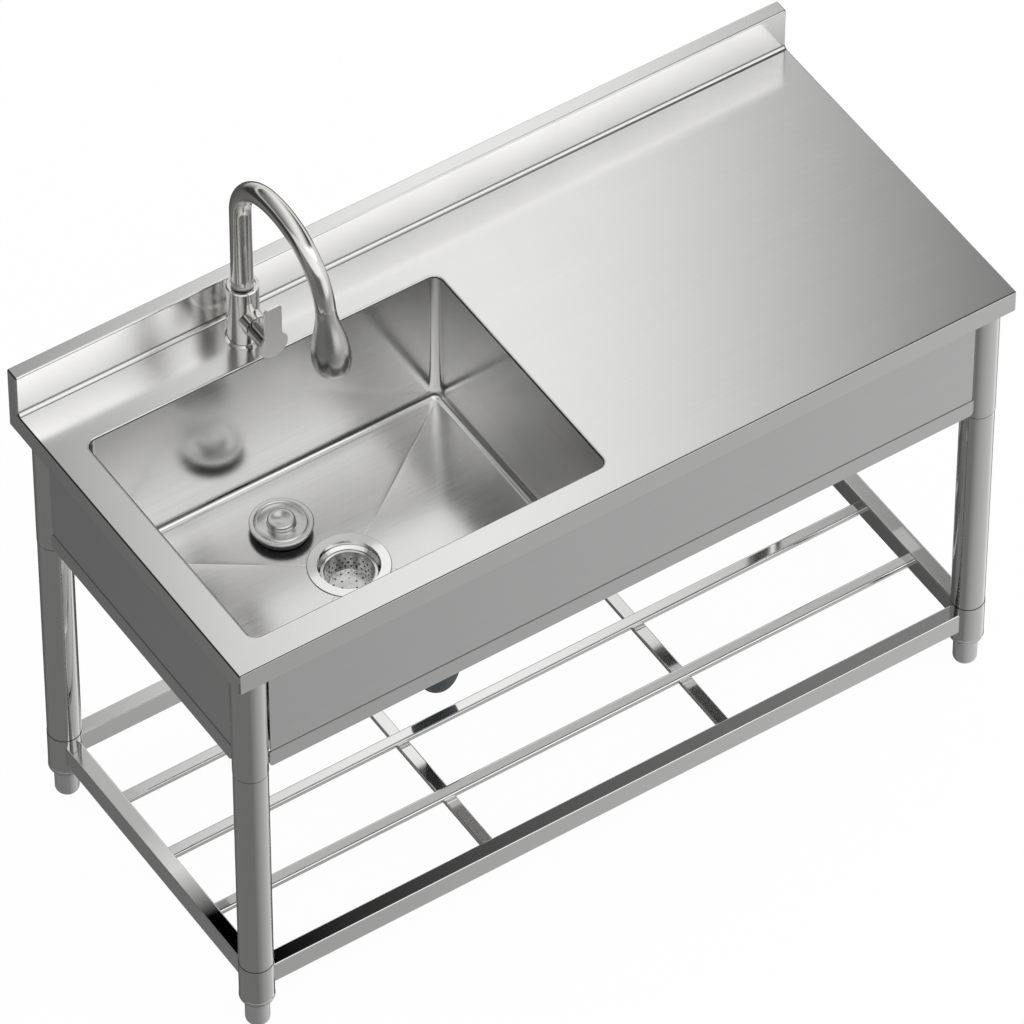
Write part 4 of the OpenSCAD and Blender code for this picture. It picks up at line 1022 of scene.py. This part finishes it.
@dataclass
class Worktop:
    """The folded worktop sheet with its drop edge, its upstand and the opening of the bowl."""

    half_length: float = 0.650
    front_y: float = -0.300
    back_y: float = 0.300
    top_z: float = 0.800
    edge_height: float = 0.038
    upstand_depth: float = 0.024
    upstand_height: float = 0.076
    fold: float = 0.0028
    fold_steps: int = 5
    end_round: float = 0.0026
    cove: float = 0.006
    lip: float = 0.005
    sheet: float = 0.0015
    bowl_centre: tuple[float, float] = BOWL_CENTRE
    bowl_size: tuple[float, float] = BOWL_SIZE
    bowl_corner: float = BOWL_CORNER
    rim_round: float = 0.0025
    rim_steps: int = 4
    corner_steps: int = 8
    front_slants: tuple[float, float] = (0.55, 0.97)
    end_slants: tuple[float, float] = (0.25, 0.97)
    flat_slant: float = 0.99
    cove_slants: tuple[tuple[float, float], ...] = ((0.95, 0.998), (0.05, 0.25))
    painted_light_finishes: tuple[MetalFinish, ...] = (FOLD_PAINTED_SHADE, COVE_PAINTED_SHADE, UPSTAND_STEEL)

    def build(self) -> bpy.types.Object:
        """Makes the sheet.

        Returns:
            The worktop.
        """
        bm = bmesh.new()
        self.folded_body(bm)
        self.lower_lip(bm)
        self.bowl_opening(bm)
        self.shade_folds(bm)
        piece = Workshop.finish(bm, "folded_worktop", WORKTOP_STEEL, wall=self.sheet)
        for finish in self.painted_light_finishes:
            piece.data.materials.append(finish.material())
        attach(piece, "unit")
        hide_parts("worktop")
        return piece

    def section(self) -> list[Vector]:
        """Draws the outer line of the sheet across the unit, with its folds.

        Returns:
            Its points, as Y and Z.
        """
        foot_z = self.top_z - self.edge_height
        step_y = self.back_y - self.upstand_depth
        crown_z = self.top_z + self.upstand_height
        corners = (
            (self.front_y, foot_z, 0.0),
            (self.front_y, self.top_z, self.fold),
            (step_y, self.top_z, self.cove),
            (step_y, crown_z, self.fold),
            (self.back_y, crown_z, self.fold),
            (self.back_y, foot_z, 0.0),
        )
        points: list[Vector] = []
        for i, (y, z, radius) in enumerate(corners):
            corner = Vector((y, z))
            if not radius:
                points.append(corner)
                continue
            into = (corner - Vector(corners[i - 1][:2])).normalized()
            out = (Vector(corners[i + 1][:2]) - corner).normalized()
            centre = corner + (out - into) * radius
            for k in range(self.fold_steps + 1):
                angle = math.radians(90 * k / self.fold_steps)
                points.append(centre - out * radius * math.cos(angle) + into * radius * math.sin(angle))
        return points

    def folded_body(self, bm: bmesh.types.BMesh) -> None:
        """Extrudes the section along X and rounds its two ends.

        Args:
            bm: Where to make it.
        """
        near_x = -self.half_length + self.end_round
        near = bm.faces.new([bm.verts.new((near_x, *point)) for point in self.section()])
        moved = bmesh.ops.extrude_face_region(bm, geom=[near], use_keep_orig=True)["geom"]
        far = [f for f in moved if isinstance(f, bmesh.types.BMFace)]
        bmesh.ops.translate(bm, vec=(-2 * near_x, 0.0, 0.0), verts=list(far[0].verts))
        bmesh.ops.recalc_face_normals(bm, faces=bm.faces)
        for end in (near, far[0]):
            Workshop.round_off(bm, [end], self.end_round, self.fold_steps, 1)

    def shade_folds(self, bm: bmesh.types.BMesh) -> None:
        """Paints shade as dark lines on the front and end folds and both sides of the cove, and marks the
        upstand for its painted highlight.

        Args:
            bm: The sheet.
        """
        step_y = self.back_y - self.upstand_depth
        cove_top = self.top_z + self.cove
        fold, cove, upstand = range(1, len(self.painted_light_finishes) + 1)
        bm.normal_update()
        for face in bm.faces:
            middle, slant = face.calc_center_median(), face.normal.z
            on_front = middle.y < self.front_y + self.fold and self.within(slant, self.front_slants)
            on_end = abs(middle.x) > self.half_length - self.end_round and self.within(slant, self.end_slants)
            on_cove = step_y - self.cove < middle.y < step_y and self.top_z < middle.z < cove_top
            # painted shade on the folds and the cove, painted highlight on the upstand
            if on_front or on_end:
                face.material_index = fold
            elif on_cove and any(self.within(slant, limits) for limits in self.cove_slants):
                face.material_index = cove
            elif face.normal.y < -self.flat_slant and step_y - self.sheet < middle.y and middle.z > cove_top:
                face.material_index = upstand

    @staticmethod
    def within(value: float, limits: tuple[float, float]) -> bool:
        """Tells whether a value lies between two limits."""
        return limits[0] < value < limits[1]

    def lower_lip(self, bm: bmesh.types.BMesh) -> None:
        """Folds the lower edge inwards and opens the underside.

        Args:
            bm: The folded body.
        """
        below = min(bm.faces, key=lambda f: f.calc_center_median().z)
        bmesh.ops.inset_region(bm, faces=[below], thickness=self.lip, use_even_offset=True)
        bmesh.ops.delete(bm, geom=[below], context="FACES_ONLY")

    def bowl_opening(self, bm: bmesh.types.BMesh) -> None:
        """Opens the top over the bowl, with a rim that rolls down into it.

        Args:
            bm: The folded body.
        """
        level = [f for f in bm.faces if f.normal.z > self.flat_slant]
        flat = [f for f in level if abs(f.calc_center_median().z - self.top_z) < self.fold / 10]
        top = max(flat, key=lambda f: f.calc_area())
        outline = list(top.edges)
        bmesh.ops.delete(bm, geom=[top], context="FACES_ONLY")
        centre = Vector((*self.bowl_centre, self.top_z))
        rim = Workshop.rounded_plate(
            bm,
            centre,
            self.bowl_size[0] + 2 * self.rim_round,
            self.bowl_size[1] + 2 * self.rim_round,
            self.bowl_corner + self.rim_round,
            self.corner_steps,
        )
        rim_edges = list(rim.edges)
        rim.normal_update()
        if rim.normal.z < 0:
            rim.normal_flip()
        Workshop.round_off(bm, [rim], self.rim_round, self.rim_steps, -1, flat_first=True)
        bmesh.ops.delete(bm, geom=[rim], context="FACES_ONLY")
        bmesh.ops.triangle_fill(bm, edges=outline + rim_edges, use_beauty=True, normal=(0.0, 0.0, 1.0))


@dataclass
class SinkBowl:
    """The deep bowl, with tight rounded corners and a floor that falls to the drain in four folds."""

    centre: tuple[float, float] = BOWL_CENTRE
    size: tuple[float, float] = BOWL_SIZE
    corner: float = BOWL_CORNER
    corner_steps: int = 8
    rim_z: float = 0.7975
    floor_z: float = 0.547
    floor_round: float = 0.012
    floor_steps: int = 8
    drain: tuple[float, float] = DRAIN
    seat_z: float = 0.541
    seat_radius: float = 0.0598
    hole_radius: float = 0.048
    crease_depth: float = 0.0009
    crease_rings: int = 8
    floor_cuts: int = 23
    sheet: float = 0.0012

    def build(self) -> bpy.types.Object:
        """Makes the bowl.

        Returns:
            The bowl.
        """
        bm = bmesh.new()
        floor = self.walls(bm)
        self.folded_floor(bm, floor)
        piece = Workshop.finish(bm, "welded_bowl", BOWL_STEEL, wall=self.sheet)
        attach(piece, "unit")
        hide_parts("sink_bowl")
        return piece

    def walls(self, bm: bmesh.types.BMesh) -> bmesh.types.BMFace:
        """Makes the walls and the round foot, down to the flat of the floor.

        Args:
            bm: Where to make them.

        Returns:
            The floor face.
        """
        start = Vector((*self.centre, self.rim_z))
        floor = Workshop.rounded_plate(bm, start, *self.size, self.corner, self.corner_steps)
        floor.normal_update()
        if floor.normal.z < 0:
            floor.normal_flip()
        foot_z = self.floor_z + self.floor_round
        floor = bmesh.ops.extrude_discrete_faces(bm, faces=[floor])["faces"][0]
        bmesh.ops.translate(bm, vec=(0.0, 0.0, foot_z - self.rim_z), verts=list(floor.verts))
        Workshop.round_off(bm, [floor], self.floor_round, self.floor_steps, -1)
        return floor

    def folded_floor(self, bm: bmesh.types.BMesh, floor: bmesh.types.BMFace) -> None:
        """Draws the floor down to the drain seat, with a soft fold from each corner.

        Args:
            bm: The walls.
            floor: The flat floor face.
        """
        long_edges = [e for e in floor.edges if e.calc_length() > 4 * self.floor_round]
        bmesh.ops.subdivide_edges(bm, edges=long_edges, cuts=self.floor_cuts)
        rims = {vert: vert.co.copy() for vert in floor.verts}
        middle = Vector((*self.drain, self.seat_z))
        shares = [k / self.crease_rings for k in range(1, self.crease_rings + 1)]
        loop = list(floor.edges)
        bmesh.ops.delete(bm, geom=[floor], context="FACES_ONLY")
        for share in shares:
            loop, moved = self.next_ring(bm, loop, rims)
            for vert, rim in moved.items():
                foot = self.on_circle(rim, middle, self.seat_radius)
                vert.co = rim.lerp(foot, share)
                vert.co.z -= self.crease_depth * self.crease(rim) * math.sin(math.pi * share) ** 0.5
            rims = moved
        _, moved = self.next_ring(bm, loop, rims)
        for vert, rim in moved.items():
            vert.co = self.on_circle(rim, middle, self.hole_radius)

    @staticmethod
    def next_ring(
        bm: bmesh.types.BMesh, loop: list[bmesh.types.BMEdge], rims: dict[bmesh.types.BMVert, Vector]
    ) -> tuple[list[bmesh.types.BMEdge], dict[bmesh.types.BMVert, Vector]]:
        """Extrudes a loop of edges in place.

        Args:
            bm: Where the loop is.
            loop: Its edges.
            rims: Its vertices, each with the point of the floor's rim that it comes from.

        Returns:
            The edges of the new loop, and its vertices with the same points.
        """
        made = bmesh.ops.extrude_edge_only(bm, edges=loop)["geom"]
        edges = [e for e in made if isinstance(e, bmesh.types.BMEdge) and len(e.link_faces) == 1]
        fresh = {v for e in edges for v in e.verts}
        moved: dict[bmesh.types.BMVert, Vector] = {}
        for vert in fresh:
            source = next(e.other_vert(vert) for e in vert.link_edges if e.other_vert(vert) in rims)
            moved[vert] = rims[source]
        return edges, moved

    @staticmethod
    def on_circle(rim: Vector, middle: Vector, radius: float) -> Vector:
        """Gives the point of a circle round the drain that lies towards a point of the rim."""
        away = rim - middle
        away.z = 0.0
        return middle + away.normalized() * radius

    def crease(self, rim: Vector) -> float:
        """Tells how near a point of the floor's rim lies to the middle of a corner.

        Args:
            rim: The point.

        Returns:
            1 in the middle of a corner, 0 beyond the corner.
        """
        inner = self.corner - self.floor_round
        aside = abs(rim.x - self.centre[0]) - (self.size[0] / 2 - self.floor_round - inner)
        ahead = abs(rim.y - self.centre[1]) - (self.size[1] / 2 - self.floor_round - inner)
        if aside <= 0 or ahead <= 0:
            return 0.0
        angle = math.atan2(ahead, aside)
        return math.sin(2 * angle) ** 2


@dataclass
class StopperCap:
    """The dished metal cap of the stopper, with a bead and a domed knob."""

    place: tuple[float, float] = (-0.338, 0.088)
    steps: int = 72
    side: tuple[tuple[float, float], ...] = (
        (0.0, 0.0000), (0.0452, 0.0000), (0.0464, 0.0006), (0.0465, 0.0016), (0.0459, 0.0026),
        (0.0448, 0.0030), (0.0402, 0.0030), (0.0392, 0.0024), (0.0384, 0.0016), (0.0376, 0.0018),
        (0.0366, 0.0028), (0.0354, 0.0030), (0.0340, 0.0024), (0.0300, 0.0016), (0.0250, 0.0010),
        (0.0216, 0.0009), (0.0206, 0.0014), (0.0204, 0.0040), (0.0206, 0.0066), (0.0202, 0.0086),
        (0.0190, 0.0101), (0.0170, 0.0108), (0.0140, 0.0104), (0.0100, 0.0094), (0.0050, 0.0086),
        (0.0, 0.0084),
    )

    def build(self) -> bpy.types.Object:
        """Makes the cap.

        Returns:
            The cap.
        """
        low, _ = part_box("stopper_cap")
        bm = bmesh.new()
        Workshop.turned(bm, list(self.side), self.steps)
        bmesh.ops.translate(bm, vec=(*self.place, low[2]), verts=bm.verts)
        piece = Workshop.finish(bm, "stopper_plate", STOPPER_STEEL)
        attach(piece, "stopper")
        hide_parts("stopper_cap")
        return piece


@dataclass
class TapNeck:
    """The swan neck of the tap, which narrows from the body to the spray head."""

    axis: tuple[float, float] = (-0.305, 0.230)
    turn: float = math.radians(2.5)
    foot_z: float = 0.8803
    bend_z: float = 1.057
    bend_radius: float = 0.080
    bend_angle: float = math.radians(80)
    fall_radius: float = 0.1185
    end_angle: float = math.radians(171.5)
    foot_radius: float = 0.0162
    seam_radius: float = 0.0149
    wall: float = 0.0022
    pocket: float = 0.020
    sides: int = 40
    foot_steps: int = 4
    bend_steps: int = 24
    fall_steps: int = 32
    lip_round: float = 0.0004
    lip_angle: float = 1.2
    lip_reach: float = 0.016

    def point(self, out: float, up: float) -> Vector:
        """Places a point of the neck's upright plane in the shared frame.

        Args:
            out: Distance in front of the tap axis.
            up: Height above the start of the bend.

        Returns:
            The point.
        """
        ahead = Vector((math.sin(self.turn), -math.cos(self.turn), 0.0))
        return Vector((*self.axis, self.bend_z + up)) + ahead * out

    def line(self) -> list[Vector]:
        """The centre line, from the foot to the seam of the spray head.

        Returns:
            Its points.
        """
        rise = self.foot_z - self.bend_z
        points = [self.point(0.0, rise - k / self.foot_steps * rise) for k in range(self.foot_steps)]
        for k in range(self.bend_steps + 1):
            angle = self.bend_angle * k / self.bend_steps
            out, up = self.bend_radius * (1 - math.cos(angle)), self.bend_radius * math.sin(angle)
            points.append(self.point(out, up))
        more = self.fall_radius - self.bend_radius
        out = self.bend_radius + more * math.cos(self.bend_angle)
        up = -more * math.sin(self.bend_angle)
        for k in range(1, self.fall_steps + 1):
            angle = self.bend_angle + (self.end_angle - self.bend_angle) * k / self.fall_steps
            fall_out = out - self.fall_radius * math.cos(angle)
            points.append(self.point(fall_out, up + self.fall_radius * math.sin(angle)))
        return points

    def build(self) -> bpy.types.Object:
        """Makes the neck.

        Returns:
            The neck.
        """
        line = self.line()
        runs = Workshop.runs(line)
        radii = [self.foot_radius + (self.seam_radius - self.foot_radius) * run / runs[-1] for run in runs]
        bm = bmesh.new()
        foot, seam = Workshop.swept_tube(bm, line, radii, self.sides)
        bmesh.ops.holes_fill(bm, edges=foot)
        cap = bmesh.ops.holes_fill(bm, edges=seam)["faces"]
        bmesh.ops.recalc_face_normals(bm, faces=bm.faces)
        bmesh.ops.inset_region(bm, faces=cap, thickness=self.wall, use_even_offset=True)
        inner = bmesh.ops.extrude_discrete_faces(bm, faces=cap)["faces"]
        ahead = (line[-1] - line[-2]).normalized()
        bmesh.ops.translate(bm, vec=-ahead * self.pocket, verts=list(inner[0].verts))
        sharp = [e for e in bm.edges if e.calc_face_angle(0.0) > self.lip_angle]
        bmesh.ops.bevel(
            bm,
            geom=[e for e in sharp if (e.verts[0].co - line[-1]).length < self.lip_reach],
            offset=self.lip_round,
            segments=2,
            profile=0.5,
            affect="EDGES",
            material=-1,
        )
        piece = Workshop.finish(bm, "swan_neck", TAP_METAL)
        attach(piece, "neck")
        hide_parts("neck_tube")
        return piece


@dataclass
class SprayHead:
    """The drop-shaped spray head below the neck."""

    neck: TapNeck = field(default_factory=TapNeck)
    gap: float = 0.0003
    length: float = 0.112
    top_radius: float = 0.0148
    widest: float = 0.0285
    widest_share: float = 0.77
    face_radius: float = 0.020
    recess_radius: float = 0.0168
    recess: float = 0.0038
    steps: int = 44
    round_steps: int = 56
    face_round: float = 0.0004
    top_round: tuple[float, float] = (0.0008, 0.0002)

    def radius(self, share: float) -> float:
        """Radius of the head.

        Args:
            share: Place along the head, 0 at the seam and 1 at the face.

        Returns:
            The radius there.
        """
        if share < self.widest_share:
            wave = (1 - math.cos(math.pi * share / self.widest_share)) / 2
            return self.top_radius + (self.widest - self.top_radius) * wave
        rest = (share - self.widest_share) / (1 - self.widest_share)
        return self.face_radius + (self.widest - self.face_radius) * math.sqrt(max(0.0, 1 - rest**2))

    def build(self) -> bpy.types.Object:
        """Makes the head.

        Returns:
            The head.
        """
        wide, fine = self.top_round
        side = [
            (0.0, -self.gap),
            (self.top_radius - wide, -self.gap),
            (self.top_radius - fine, -self.gap - fine),
        ]
        for k in range(1, self.steps + 1):
            share = math.sin(math.pi / 2 * k / self.steps)
            side.append((self.radius(share), -self.gap - share * (self.length - self.gap)))
        side += [
            (self.face_radius - self.face_round, -self.length),
            (self.recess_radius + self.face_round, -self.length),
            (self.recess_radius, -self.length + self.face_round),
            (self.recess_radius, -self.length + self.recess),
            (0.0, -self.length + self.recess),
        ]
        bm = bmesh.new()
        Workshop.turned(bm, side, self.round_steps)
        seam = self.neck.line()[-1]
        angle = self.neck.end_angle
        down = self.neck.point(math.sin(angle), math.cos(angle)) - self.neck.point(0.0, 0.0)
        turn = (-down).to_track_quat("Z", "Y").to_matrix().to_4x4()
        bmesh.ops.transform(bm, matrix=Matrix.Translation(seam) @ turn, verts=bm.verts)
        piece = Workshop.finish(bm, "spray_shell", SPRAY_METAL)
        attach(piece, "spray")
        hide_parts("spray_head")
        return piece


class CadDressing:
    """Gives each CAD node that stays in view its finish."""

    FINISHES: tuple[tuple[MetalFinish | MouldedFinish, tuple[str, ...]], ...] = (
        (APRON_STEEL, ("front_apron", "back_apron")),
        (SIDE_APRON_STEEL, ("left_apron", "right_apron")),
        (ZINC, ("top_stiffeners", "leg_spigots", "hose_clamp", "tap_nut", "spray_hose")),
        (LEG_STEEL, ("leg_", "foot_collars")),
        (FOOT_STEEL, ("foot_",)),
        (LONG_RAIL_STEEL, ("front_rail", "back_rail", "front_slat", "middle_slat", "back_slat")),
        (CROSS_RAIL_STEEL, ("left_rail", "right_rail", "left_cross_bar", "right_cross_bar")),
        (DRAIN_STEEL, ("drain_body", "stopper_cap")),
        (RUBBER, ("drain_gasket", "stopper_seal", "tap_washer")),
        (WHITE_PLASTIC, ("drain_lock_nut", "waste_elbow", "elbow_nut", "tap_cartridge")),
        (PLUG_RUBBER, ("hose_end_plug",)),
        (BASKET_STEEL, ("strainer_basket",)),
        (TAP_SATIN, ("lever_paddle", "neck_bush")),
        (TAP_METAL, ("tap_",)),
        (TAP_POLISHED, ("lever_",)),
        (BLACK_PLASTIC, ("spray_face",)),
    )

    def dress(self) -> int:
        """Puts a finish on every CAD node.

        Returns:
            How many nodes were dressed.
        """
        count = 0
        for name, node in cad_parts.items():
            for finish, starts in self.FINISHES:
                if name.startswith(starts):
                    self.put(node, finish.material())
                    count += 1
                    break
            else:
                LOG.info("%s keeps the plain steel", name)
                self.put(node, WORKTOP_STEEL.material())
        return count

    @staticmethod
    def put(node: bpy.types.Object, material: bpy.types.Material) -> None:
        """Assigns one material to all slots of a node."""
        for slot in node.material_slots:
            slot.material = material


def main() -> None:
    """Builds the scene in order and reports each piece."""
    logging.basicConfig(level=logging.INFO, format="%(message)s")
    bpy.context.scene.view_settings.view_transform = "Standard"
    LOG.info("camera: %s", PhotoCamera().build().name)
    LOG.info("hose: %s", WasteHose().build().name)
    Studio().build()
    LOG.info("nodes dressed: %d", CadDressing().dress())
    for maker in (Worktop(), SinkBowl(), StopperCap(), TapNeck(), SprayHead()):
        piece = maker.build()
        LOG.info("piece: %s, %d faces", piece.name, len(piece.data.polygons))


if __name__ == "__main__":
    main()
